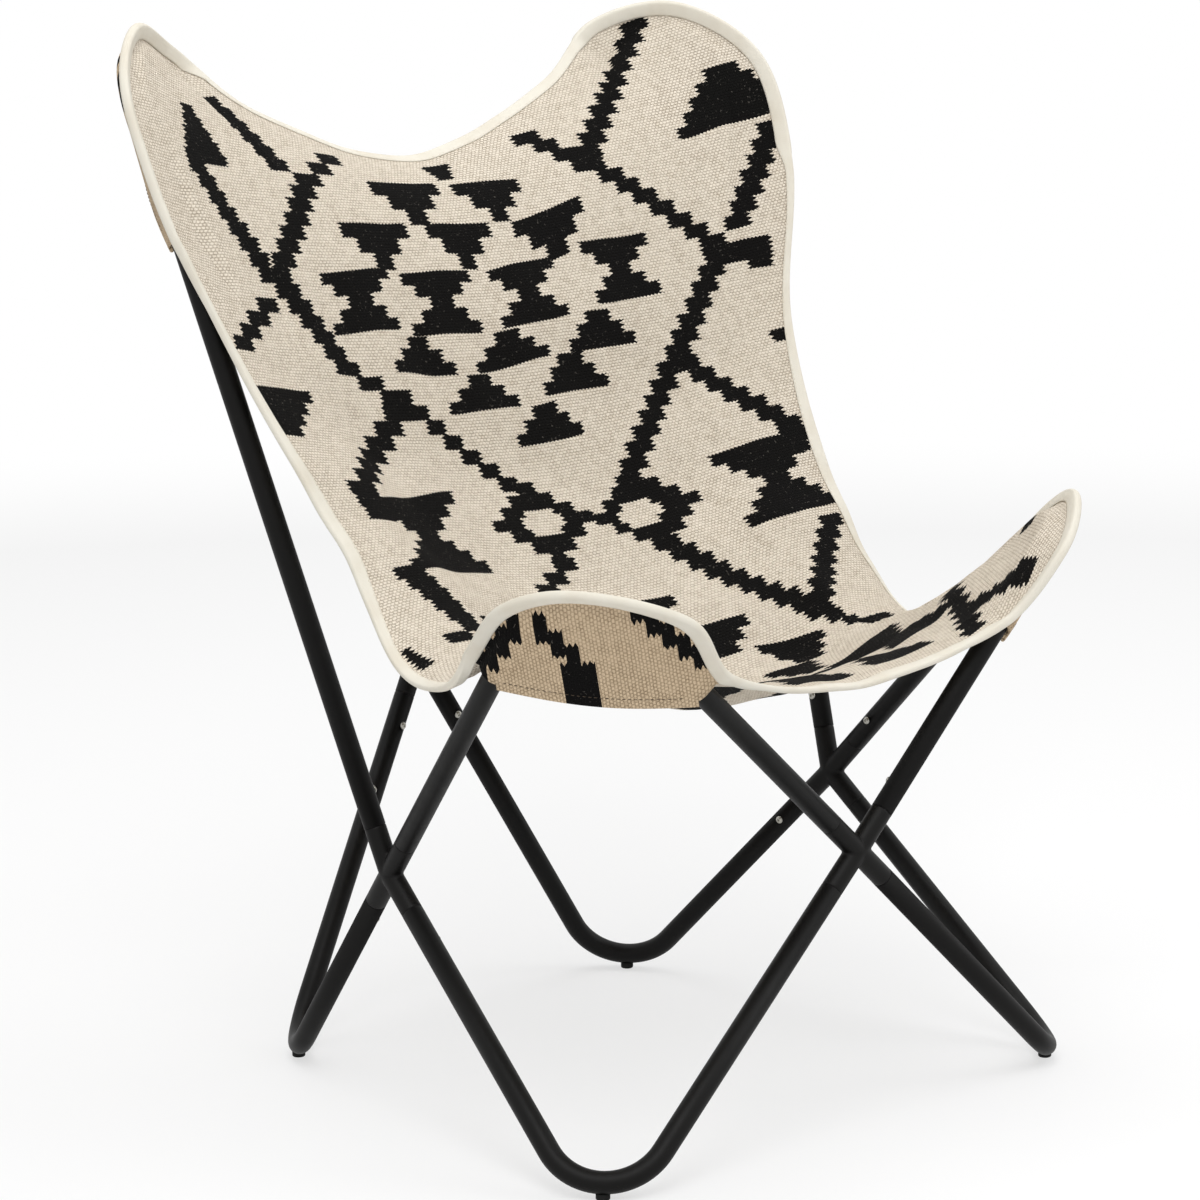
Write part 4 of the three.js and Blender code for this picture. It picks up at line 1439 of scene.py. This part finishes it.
    def lay(self) -> None:
        """Work out the rows of cloth beside the rim, with the flanges that stand out from the loops."""
        self.angles = 2 * math.pi * np.arange(self.spokes) / self.spokes
        self.rim = self.at(np.ones(self.spokes), self.angles)
        self.probe_radii = 1 - self.probe_depth * np.arange(self.probe_steps + 1) / self.probe_steps
        rings = [self.at(np.full(self.spokes, radius), self.angles) for radius in self.probe_radii]
        self.probes = np.array(rings)
        steps = np.linalg.norm(np.diff(self.probes, axis=0), axis=2)
        self.probe_lengths = np.concatenate([np.zeros((1, self.spokes)), np.cumsum(steps, axis=0)])
        every = np.arange(self.spokes)
        self.keys = [self.at(self.radius_at(every, row), self.angles) for row in self.key_rows]
        self.past_radius = self.radius_at(every, self.key_rows[-1])
        self.pocket_spokes = self.find_pockets()
        self.pocketed = np.zeros(self.spokes)
        self.hold = np.zeros(self.spokes)
        self.pocket_row = np.zeros((self.spokes, 3))
        for name, spokes in self.pocket_spokes.items():
            ends = np.arange(1, self.finer + 1)
            before = (spokes[0] - ends) % self.spokes
            after = (spokes[-1] + ends) % self.spokes
            self.pocketed[spokes] = 1
            fade = 1 - ends / (self.finer + 1)
            self.pocketed[before] = np.maximum(self.pocketed[before], fade)
            self.pocketed[after] = np.maximum(self.pocketed[after], fade)
            past_hold = self.past_pocket_hold * fade
            for some, share in ((spokes, 1.0), (before, past_hold), (after, past_hold)):
                self.set_flange(self.loops[name], some, share)

    def radius_at(self, spokes: np.ndarray, distance: np.ndarray | float) -> np.ndarray:
        """The disc's radius at a distance from the rim, measured along the cloth.

        Args:
            spokes: The spokes.
            distance: The distance, or one for each spoke.

        Returns:
            One radius for each spoke.
        """
        wanted = np.broadcast_to(distance, len(spokes))
        found = []
        for far, spoke in zip(wanted, spokes):
            found.append(np.interp(far, self.probe_lengths[:, spoke], self.probe_radii))
        return np.array(found)

    def set_flange(self, loop: Bent, spokes: np.ndarray, share: np.ndarray | float) -> None:
        """Stand the cloth of some spokes straight out from a loop's tube.

        Args:
            loop: The loop.
            spokes: The spokes.
            share: How much of the flange these spokes take.
        """
        foot, radial, outside, inward = loop.off(self.rim[spokes])
        reach = np.hypot(outside, inward)
        lean = np.arctan2(inward, outside)
        line = np.maximum(reach - self.binding_width, self.off_tube)
        touch = np.minimum(lean + np.arccos(self.off_tube / line), self.latest_touch)
        leave = touch + (math.pi / 2 - touch) * self.leave_share
        hold = (1 - smooth_step(reach, self.flange_near, self.flange_far)) * share

        def place(distance: np.ndarray, angle: np.ndarray) -> np.ndarray:
            """A point round the tube, by its distance from the centre line and its angle."""
            out = radial * (distance * np.cos(angle))[:, None]
            return foot + out + loop.inward * (distance * np.sin(angle))[:, None]

        around = np.full(len(spokes), self.off_tube)
        for row, flange in ((1, place(line, lean)), (2, place(around, touch)), (3, place(around, leave))):
            free = self.keys[row][spokes]
            self.keys[row][spokes] = free + (flange - free) * hold[:, None]
        past = []
        for spoke in spokes:
            _, _, along, _ = loop.off(self.probes[:, spoke])
            past.append(np.interp(self.past_tube, -along, self.probe_radii))
        free = self.past_radius[spokes]
        self.past_radius[spokes] = free + (np.minimum(past, free) - free) * hold
        self.keys[-1][spokes] = self.at(self.past_radius[spokes], self.angles[spokes])
        outer = radial * np.sin(lean)[:, None] - loop.inward * np.cos(lean)[:, None]
        self.pocket_row[spokes] = place(line - self.pocket_leave, lean) + outer * self.pocket_depth
        self.hold[spokes] = hold

    def find_pockets(self) -> dict[str, np.ndarray]:
        """The spokes of each pocket's sewn rim, from one end of its hem over the tip to the other."""
        eighth = self.coarse // 8
        plan = {
            "back_right": (eighth, self.back_pocket),
            "back_left": (3 * eighth, self.back_pocket[::-1]),
            "front_left": (5 * eighth, self.front_pocket),
            "front_right": (7 * eighth, self.front_pocket[::-1]),
        }
        found = {}
        coarse_rim = self.rim[:: self.finer]
        for name, (tip, limits) in plan.items():
            ends = []
            for limit, turn in zip(limits, (-1, 1)):
                length = 0.0
                spoke = tip
                for _ in range(self.coarse // 4):
                    following = (spoke + turn) % self.coarse
                    length += np.linalg.norm(coarse_rim[spoke] - coarse_rim[following])
                    if length > limit:
                        break
                    spoke = following
                ends.append(spoke * self.finer)
            count = (ends[1] - ends[0]) % self.spokes + 1
            found[name] = (ends[0] + np.arange(count)) % self.spokes
        return found

    def panel_rows(self) -> np.ndarray:
        """Every ring of the panel, from the rim to the middle, as rows of points."""
        shares = 1 - np.arange(1, self.inner_rings) / self.inner_rings
        rings = [self.at(self.past_radius * share, self.angles) for share in shares]
        before = self.keys[0] * 2 - self.keys[1]
        stations = [before, *self.keys, rings[0]]
        rows = []
        for index, steps in enumerate(self.row_steps):
            for step in range(steps):
                share = np.full((self.spokes, 1), step / steps)
                rows.append(centripetal(*stations[index:index + 4], share))
        middle = np.broadcast_to(self.at(np.zeros(1), np.zeros(1)), (self.spokes, 3))
        return np.array([*rows, self.keys[-1], *rings, middle])

    def ruffled(self, rows: np.ndarray) -> np.ndarray:
        """Soft waves in the cloth where it hangs free of the tubes.

        Args:
            rows: The panel's smooth rows.

        Returns:
            The rows with waves.
        """
        inside = np.linalg.norm(rows - rows[0], axis=-1)
        folds = np.sin(rows @ np.array(self.fold_wave)) * np.exp(-inside / self.fold_reach)
        wave = self.fold_share * folds
        for first, second, phase, share in self.waves:
            wave += share * np.sin(rows @ np.array(first)) * np.sin(rows @ np.array(second) + phase)
        wave *= 1 - self.taut_share * smooth_step(rows[..., 2], *self.taut_heights)
        free = np.ones(wave.shape)
        for loop in self.loops.values():
            _, _, outside, inward = loop.off(rows)
            free = np.minimum(free, smooth_step(np.hypot(outside, inward), *self.wave_clear))
        return rows + normals_of(rows) * (self.wave_height * wave * free)[..., None]

    def build(
        self, kilim: Kilim, tape: bpy.types.Material, thread: bpy.types.Material, hem: bpy.types.Material,
    ) -> None:
        """Build the panel, the binding, the pockets and the stitches.

        Args:
            kilim: The woven cloth's finish.
            tape: The binding's material.
            thread: The material of the binding's stitches.
            hem: The material of the hems' stitches, dark brown as painted shadow of the hem's fold.
        """
        self.lay()
        self.rows = self.ruffled(self.panel_rows())
        self.normals = normals_of(self.rows)
        panel = publish("sling_cloth", laid(self.rows, closed=True), kilim.panel())
        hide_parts("sling_panel")
        flat, area = self.flatten(panel)
        thicken(panel, self.cloth)
        tape_rows = self.tape_rows()
        edge = publish("edge_tape", laid(tape_rows, closed=True), tape)
        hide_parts("sling_binding")
        thicken(edge, self.binding_cloth)
        seam = publish("edge_stitches", self.edge_stitches(), thread)
        outer = kilim.pocket()
        for name, spokes in self.pocket_spokes.items():
            self.build_pocket(name, spokes, outer, hem)

    def flatten(self, panel: bpy.types.Object) -> tuple[tuple[float, float], float]:
        """Lay the panel out flat, as it was cut, and keep where each point lies on the flat cloth.

        Args:
            panel: The panel, still without thickness.

        Returns:
            The flat cloth's width and length, and its area.
        """
        bpy.ops.object.select_all(action="DESELECT")
        bpy.context.view_layer.objects.active = panel
        panel.select_set(True)
        bpy.ops.object.mode_set(mode="EDIT")
        bpy.ops.mesh.select_all(action="SELECT")
        bpy.ops.uv.unwrap(method="MINIMUM_STRETCH", iterations=self.flat_passes, no_flip=False)
        bpy.ops.object.mode_set(mode="OBJECT")
        panel.select_set(False)
        data = panel.data
        count = len(data.vertices)
        laid_flat = np.zeros(2 * len(data.loops))
        data.uv_layers.active.data.foreach_get("uv", laid_flat)
        corner = np.zeros(len(data.loops), int)
        data.loops.foreach_get("vertex_index", corner)
        flat = np.zeros((count, 2))
        flat[corner] = laid_flat.reshape(-1, 2)
        ends = np.zeros(2 * len(data.edges), int)
        data.edges.foreach_get("vertices", ends)
        ends = ends.reshape(-1, 2)
        place = points_of(data)
        real = np.linalg.norm(place[ends[:, 0]] - place[ends[:, 1]], axis=1)
        drawn = np.linalg.norm(flat[ends[:, 0]] - flat[ends[:, 1]], axis=1)
        flat *= np.median(real / drawn.clip(1e-9))

        def near(point: np.ndarray) -> int:
            """The panel's point nearest to a place."""
            return int(np.argmin(np.linalg.norm(place - point, axis=1)))

        back = flat[near(self.rim[self.spokes // 4])]
        front = flat[near(self.rim[3 * self.spokes // 4])]
        down = unit(front - back)
        across = np.array([-down[1], down[0]])
        flat -= back
        turned = np.stack([flat @ across, -(flat @ down)], axis=1)
        if turned[near(self.rim[0]), 0] < 0:
            turned[:, 0] *= -1
        keep_flat(data, turned)
        rim = turned[[near(point) for point in self.rim]]
        ahead = np.roll(rim, -1, axis=0)
        area = abs((rim[:, 0] * ahead[:, 1] - rim[:, 1] * ahead[:, 0]).sum()) / 2
        width, length = rim.max(axis=0) - rim.min(axis=0)
        LOG.info("flat panel %.3f x %.3f m, %.3f m2", width, length, area)
        return (float(width), float(length)), float(area)

    def tape_rows(self) -> np.ndarray:
        """The binding's tape, folded over the rim, in rows of points from lip to lip."""
        line = self.row_steps[0]
        edge, sewn = self.rows[0], self.rows[line]
        edge_up, sewn_up = self.normals[0], self.normals[line]
        slant = 2 * (sewn_up * edge_up).sum(-1, keepdims=True) * edge_up - sewn_up
        under = sewn_up + (slant - sewn_up) * self.pocketed[:, None]
        deep = self.pocket_depth * self.pocketed
        edge, sewn, edge_up, sewn_up, under = (
            denser(part, self.tape_finer) for part in (edge, sewn, edge_up, sewn_up, under)
        )
        deep = denser(deep[:, None], self.tape_finer)
        self.tape_line, self.tape_deep = sewn, deep
        self.tape_up, self.tape_under = unit(sewn_up), unit(under)
        out = unit(edge - sewn)
        along = np.arange(len(edge))[:, None]
        waves = [part * np.sin(along * turn + phase) for turn, phase, part in self.pucker_waves]
        pucker = self.pucker * sum(waves)
        press = self.cloth / 2 + self.binding_cloth / 2 + self.tape_gap
        full = self.cloth / 2 + self.binding_ease + self.binding_cloth / 2
        lips = []
        for face, lip, depth in ((1, sewn_up, 0.0), (-1, under, deep)):
            lips.append([])
            for share in self.tape_shares:
                up = unit(lip + (edge_up - lip) * share)
                swell = press + (full - press) * math.sin(min(2 * share, 1) * math.pi / 2)
                ripple = pucker * math.sin(math.pi * min(share + 0.1, 1))
                lips[-1].append(sewn + (edge - sewn) * share + up * face * (swell + depth + ripple))
        radius = full + deep / 2
        middle = edge - edge_up * deep / 2
        fold = []
        for step in range(1, self.fold_steps):
            angle = math.pi * step / self.fold_steps
            fold.append(middle + edge_up * radius * math.cos(angle) + out * (full * math.sin(angle)))
        self.tape_out = out
        self.tape_press = press + self.binding_cloth / 2
        return np.array([*lips[0], *fold, *reversed(lips[1])])

    def edge_stitches(self) -> bmesh.types.BMesh:
        """The two rows of stitches that hold the tape, on its inner and its outer lip."""
        mesh = bmesh.new()
        for up, deep in ((self.tape_up, 0.0), (-self.tape_under, self.tape_deep)):
            height = self.tape_press + deep + self.thread / 4
            line = self.tape_line + self.tape_out * self.stitch_inset + up * height
            sew(mesh, line, up, self, closed=True)
        return mesh

    def build_pocket(
        self, name: str, spokes: np.ndarray, cloth: bpy.types.Material, thread: bpy.types.Material,
    ) -> None:
        """Build one corner pocket with its folded hem and the hem's stitches.

        Args:
            name: The corner.
            spokes: The rim's spokes that the pocket is sewn to.
            cloth: The woven cloth's material.
            thread: The stitches' material, dark brown as painted shadow of the hem's fold.
        """
        loop = self.loops[name]
        rows, hem = self.pocket_rows(loop, spokes, self.back_hem if "back" in name else self.front_hem)
        pocket = publish(f"corner_pocket_{name}", laid(rows, closed=False), cloth)
        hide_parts(f"pocket_{name}")
        data = pocket.data
        start = points_of(data) - loop.crown
        side = 1 if loop.crown[0] < 0 else -1
        keep_flat(data, np.stack([start @ loop.across * side, start @ loop.up], axis=1))
        thicken(pocket, self.cloth)
        mesh = bmesh.new()
        sew(mesh, hem, np.broadcast_to(-loop.inward, hem.shape), self, closed=False)
        seam = publish(f"hem_stitches_{name}", mesh, thread)
        area = sheet_area(rows)

    def pocket_rows(
        self, loop: Bent, spokes: np.ndarray, hem: tuple[float, float],
    ) -> tuple[np.ndarray, np.ndarray]:
        """A pocket's cloth, from the rim round the tube and down to its hem, folded up inside.

        Args:
            loop: The pocket's loop.
            spokes: The rim's spokes that it is sewn to.
            hem: How far the hem hangs below its ends, and how far it bows out.

        Returns:
            The rows of points, and the line of the hem's stitches.
        """
        line = self.row_steps[0]
        ring = line + self.row_steps[1]
        edge = self.rows[0, spokes] - self.normals[0, spokes] * self.pocket_depth
        gap = self.rows[ring, spokes] - self.rows[line, spokes]
        share = self.pocket_leave / np.linalg.norm(gap, axis=1, keepdims=True)
        up = unit(self.normals[line, spokes] * (1 - share) + self.normals[ring, spokes] * share)
        sewn = self.rows[line, spokes] + gap * share - up * self.pocket_depth
        sewn += (self.pocket_row[spokes] - sewn) * self.hold[spokes, None]
        foot, radial, outside, inward = loop.off(sewn)
        far = np.maximum(np.hypot(outside, inward), self.off_tube)
        touch = np.arctan2(inward, outside) - np.arccos(self.off_tube / far)
        rows = [edge + (sewn - edge) * step / self.sewn_steps for step in range(self.sewn_steps + 1)]
        for step in range(self.wrap_steps + 1):
            angle = touch + (-math.pi / 2 - touch) * step / self.wrap_steps
            out = radial * (self.off_tube * np.cos(angle))[:, None]
            rows.append(foot + out + loop.inward * (self.off_tube * np.sin(angle))[:, None])
        top = rows[-1]
        drop, bow = hem
        along = np.linspace(0, 1, len(spokes))[:, None]
        low = top[0] + (top[-1] - top[0]) * along - loop.up * drop
        low = low - loop.inward * bow * np.sin(math.pi * along)
        for step in range(1, self.apron_steps + 1):
            rows.append(top + (low - top) * step / self.apron_steps)
        fall = low - top
        length = np.linalg.norm(fall, axis=1, keepdims=True)
        down = fall / length
        radius = self.cloth * self.hem_round
        for step in range(1, self.hem_steps + 1):
            angle = math.pi * step / self.hem_steps
            rise = loop.inward * radius * (1 - math.cos(angle))
            rows.append(low + rise + down * radius * math.sin(angle))
        fold = np.minimum(self.hem_fold, length * self.hem_most)
        for step in (0.5, 1.0):
            rows.append(low + loop.inward * 2 * radius - down * fold * step)
        sewn_hem = low - down * fold * self.hem_sewn - loop.inward * (self.cloth / 2 + self.thread / 4)
        inside = length[:, 0] > 1.5 * self.hem_fold
        return np.array(rows), sewn_hem[inside]


def keep_flat(data: bpy.types.Mesh, flat: np.ndarray) -> None:
    """Keep where each point lies on the flat cloth, in metres, as a point attribute.

    Args:
        data: The cloth's mesh.
        flat: The flat places, in rows.
    """
    layer = data.attributes.new(FLAT, "FLOAT_VECTOR", "POINT")
    layer.data.foreach_set("vector", np.column_stack([flat, np.zeros(len(flat))]).ravel())


def laid(rows: np.ndarray, closed: bool) -> bmesh.types.BMesh:
    """A sheet laid over rows of points, its middle facing up.

    Args:
        rows: The rows, all of one length.
        closed: Whether each row comes round to its start.

    Returns:
        The sheet.
    """
    if closed:
        rows = np.concatenate([rows, rows[:, :1]], axis=1)
    mesh = bmesh.new()
    bmesh.ops.create_grid(mesh, x_segments=rows.shape[1] - 1, y_segments=rows.shape[0] - 1, size=1)
    for vert, point in zip(mesh.verts, rows.reshape(-1, 3)):
        vert.co = point
    bmesh.ops.remove_doubles(mesh, verts=mesh.verts, dist=0.01 * MM)
    bmesh.ops.recalc_face_normals(mesh, faces=mesh.faces)
    mesh.normal_update()
    if sum(face.normal.z * face.calc_area() for face in mesh.faces) < 0:
        bmesh.ops.reverse_faces(mesh, faces=mesh.faces)
    return mesh


def thicken(piece: bpy.types.Object, thickness: float) -> None:
    """Give a sheet its thickness, half to each side."""
    wall = piece.modifiers.new("thickness", "SOLIDIFY")
    wall.thickness = thickness
    wall.offset = 0


def normals_of(rows: np.ndarray) -> np.ndarray:
    """The upward normals of a sheet of closed rows.

    Args:
        rows: The rows of points.

    Returns:
        One unit vector for each point.
    """
    round_about = np.roll(rows, -1, axis=1) - np.roll(rows, 1, axis=1)
    normal = np.cross(round_about, np.gradient(rows, axis=0))
    normal /= np.linalg.norm(normal, axis=-1, keepdims=True).clip(1e-12)
    return normal if normal[..., 2].mean() > 0 else -normal


def denser(ring: np.ndarray, times: int) -> np.ndarray:
    """A closed ring of points with smooth points put in between.

    Args:
        ring: The points, in rows.
        times: How many points each becomes.

    Returns:
        The longer ring.
    """
    count = len(ring)
    place = np.arange(count * times) / times
    index = place.astype(int)
    share = (place - index)[:, None]
    before, start, end, after = (ring[(index + shift) % count] for shift in (-1, 0, 1, 2))
    lead = (end - before) / 2
    tail = (after - start) / 2
    square = 3 * (end - start) - 2 * lead - tail
    cube = 2 * (start - end) + lead + tail
    return start + lead * share + square * share ** 2 + cube * share ** 3


def sheet_area(rows: np.ndarray) -> float:
    """The area of an open sheet of rows."""
    first = np.cross(rows[1:, :-1] - rows[:-1, :-1], rows[:-1, 1:] - rows[:-1, :-1])
    second = np.cross(rows[1:, :-1] - rows[1:, 1:], rows[:-1, 1:] - rows[1:, 1:])
    return float((np.linalg.norm(first, axis=2) + np.linalg.norm(second, axis=2)).sum() / 2)


def sew(mesh: bmesh.types.BMesh, line: np.ndarray, up: np.ndarray, sling: Sling, closed: bool) -> None:
    """Put stitches along a line.

    Args:
        mesh: The mesh that gets the stitches.
        line: The line's points.
        up: The cloth's outward direction at each point.
        sling: The cloth, for the sizes of the stitches.
        closed: Whether the line comes round to its start.
    """
    if closed:
        line = np.concatenate([line, line[:1]])
        up = np.concatenate([up, up[:1]])
    lengths = np.concatenate([[0.0], np.cumsum(np.linalg.norm(np.diff(line, axis=0), axis=1))])
    places = np.arange(sling.stitch_pitch / 2, lengths[-1], sling.stitch_pitch)
    reach = sling.stitch_length / 2

    def pick(values: np.ndarray, at: np.ndarray) -> np.ndarray:
        """Values between the line's points, at lengths along it."""
        return np.stack([np.interp(at, lengths, values[:, axis]) for axis in range(3)], axis=1)

    ahead = pick(line, places + reach) - pick(line, places - reach)
    for point, way, out in zip(pick(line, places), ahead, pick(up, places)):
        turn = Matrix(np.stack([unit(way), unit(np.cross(out, way)), unit(out)], axis=1)).to_4x4()
        size = Matrix.Diagonal((reach, sling.thread / 2, sling.thread / 2, 1))
        place = Matrix.Translation(Vector(point)) @ turn @ size
        bmesh.ops.create_icosphere(mesh, subdivisions=1, radius=1, matrix=place)


def centripetal(
    before: np.ndarray, start: np.ndarray, end: np.ndarray, after: np.ndarray, share: np.ndarray,
) -> np.ndarray:
    """A smooth curve between two points of a run, its speed set by the gaps between the points.

    Args:
        before: The point before the start.
        start: The start.
        end: The end.
        after: The point after the end.
        share: How far along, from 0 to 1, in a column.

    Returns:
        The points on the curve.
    """
    gaps = []
    for first, second in ((before, start), (start, end), (end, after)):
        gaps.append(np.sqrt(np.linalg.norm(second - first, axis=-1, keepdims=True)).clip(1e-6))
    lead = (start - before) / gaps[0] - (end - before) / (gaps[0] + gaps[1]) + (end - start) / gaps[1]
    tail = (end - start) / gaps[1] - (after - start) / (gaps[1] + gaps[2]) + (after - end) / gaps[2]
    lead = lead * gaps[1]
    tail = tail * gaps[1]
    square = -3 * start + 3 * end - 2 * lead - tail
    cube = 2 * start - 2 * end + lead + tail
    return start + lead * share + square * share ** 2 + cube * share ** 3


@dataclass
class Studio:
    """The stage: a white floor, soft lamps, the world's light and the camera."""

    floor_size: float = 60.0
    near_floor: float = 1.4
    far_floor: float = 4.0
    floor_glow: float = 0.62
    floor_tone: float = 0.9
    world_light: float = 0.5
    aim_height: float = 0.45
    sensor: float = 36.0
    camera_place: tuple[float, float, float] = (-2.2978, -2.4387, 1.0487)
    look_back: tuple[float, float, float] = (-0.6744, -0.7172, 0.1757)
    roll: float = math.radians(-0.49)
    lens: float = 115.19
    shift: tuple[float, float] = (-0.0189, -0.0242)
    lamps: tuple[tuple[str, tuple[float, float, float], float, float], ...] = (
        ("key", (-2.0, -2.0, 3.9), 2.6, 92.0),
        ("fill", (2.6, -2.2, 3.0), 2.6, 40.0),
        ("top", (0.2, 0.6, 4.0), 2.8, 52.0),
    )

    def build(self) -> None:
        """Set up the floor, the lights and the camera."""
        scene = bpy.context.scene
        scene.view_settings.view_transform = "Standard"
        self.lay_floor()
        self.light_world()
        for name, place, size, power in self.lamps:
            self.hang(name, place, size, power)
        self.set_camera()

    def lay_floor(self) -> None:
        """Lay a floor that keeps the shadow near the chair and is white further off."""
        mesh = bmesh.new()
        bmesh.ops.create_grid(mesh, x_segments=1, y_segments=1, size=self.floor_size / 2)
        data = bpy.data.meshes.new("floor")
        mesh.to_mesh(data)
        mesh.free()
        graph = Graph(bpy.data.materials.new("floor_paper"))
        distance = graph.node("ShaderNodeVectorMath", {"operation": "LENGTH"}, {0: graph.place()})
        away = Value(graph, distance.outputs["Value"]).ramp(self.near_floor, self.far_floor)
        share = (away | self.floor_glow) * graph.seen()
        tone = self.floor_tone
        graph.dress(base_color=(tone, tone, tone, 1), roughness=0.9)
        glow = graph.node("ShaderNodeEmission", None, {"Strength": 1.0})
        inputs = {0: share, 1: graph.shader.outputs[0], 2: glow.outputs[0]}
        mixed = graph.node("ShaderNodeMixShader", None, inputs)
        graph.feed(graph.tree.nodes["Material Output"].inputs["Surface"], mixed.outputs[0])
        data.materials.append(graph.owner)
        floor = bpy.data.objects.new("floor", data)
        bpy.context.scene.collection.objects.link(floor)

    def light_world(self) -> None:
        """Even light from all round, white to the camera."""
        world = bpy.data.worlds.new("studio")
        bpy.context.scene.world = world
        graph = Graph(world)
        strength = graph.node("ShaderNodeMix", None, {0: graph.seen(), 2: self.world_light, 3: 1.0})
        graph.feed(graph.shader.inputs["Strength"], strength.outputs[0])
        graph.feed(graph.shader.inputs["Color"], (1, 1, 1, 1))

    def hang(self, name: str, place: tuple[float, float, float], size: float, power: float) -> None:
        """Hang a square lamp that faces the chair's seat.

        Args:
            name: The lamp's name.
            place: Where it hangs.
            size: Its side.
            power: Its power in watts.
        """
        data = bpy.data.lights.new(name, "AREA")
        data.size = size
        data.energy = power
        lamp = bpy.data.objects.new(name, data)
        lamp.location = place
        way = Vector((0, 0, self.aim_height)) - Vector(place)
        lamp.rotation_euler = way.to_track_quat("-Z", "Y").to_euler()
        bpy.context.scene.collection.objects.link(lamp)

    def set_camera(self) -> None:
        """Put the camera where the picture was taken from."""
        back = Vector(self.look_back).normalized()
        level = Vector((0, 0, 1)).cross(back).normalized()
        up = back.cross(level)
        right = level * math.cos(self.roll) + up * math.sin(self.roll)
        above = back.cross(right)
        data = bpy.data.cameras.new("camera")
        data.sensor_width = self.sensor
        data.lens = self.lens
        data.shift_x, data.shift_y = self.shift
        camera = bpy.data.objects.new("camera", data)
        turn = Matrix((right, above, back)).transposed().to_4x4()
        camera.matrix_world = Matrix.Translation(Vector(self.camera_place)) @ turn
        bpy.context.scene.collection.objects.link(camera)
        bpy.context.scene.camera = camera


def main() -> None:
    """Build the chair, its stage and the camera."""
    logging.basicConfig(level=logging.INFO, format="%(name)s %(message)s")
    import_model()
    paint = Finish("frame_paint", (11, 10, 9), 0.5, shine=0.16, grain=1.1 * MM, depth=0.03 * MM)
    plate = Finish("screw_zinc", (176, 174, 166), 0.34, metallic=1.0)
    rubber = Finish("glide_rubber", (13, 13, 12), 0.8, shine=0.3)
    thread = Finish("sewing_thread", (216, 206, 186), 0.9)
    # The hems' stitches are real; their dark brown is painted shadow of the hem's fold line.
    hem_thread = Finish("hem_thread", (78, 66, 52), 0.9)
    frame = TubeFrame()
    frame.build(paint.material(), plate.material(), rubber.material())
    Sling(frame).build(Kilim(), Canvas().material(), thread.material(), hem_thread.material())
    Studio().build()


if __name__ == "__main__":
    main()
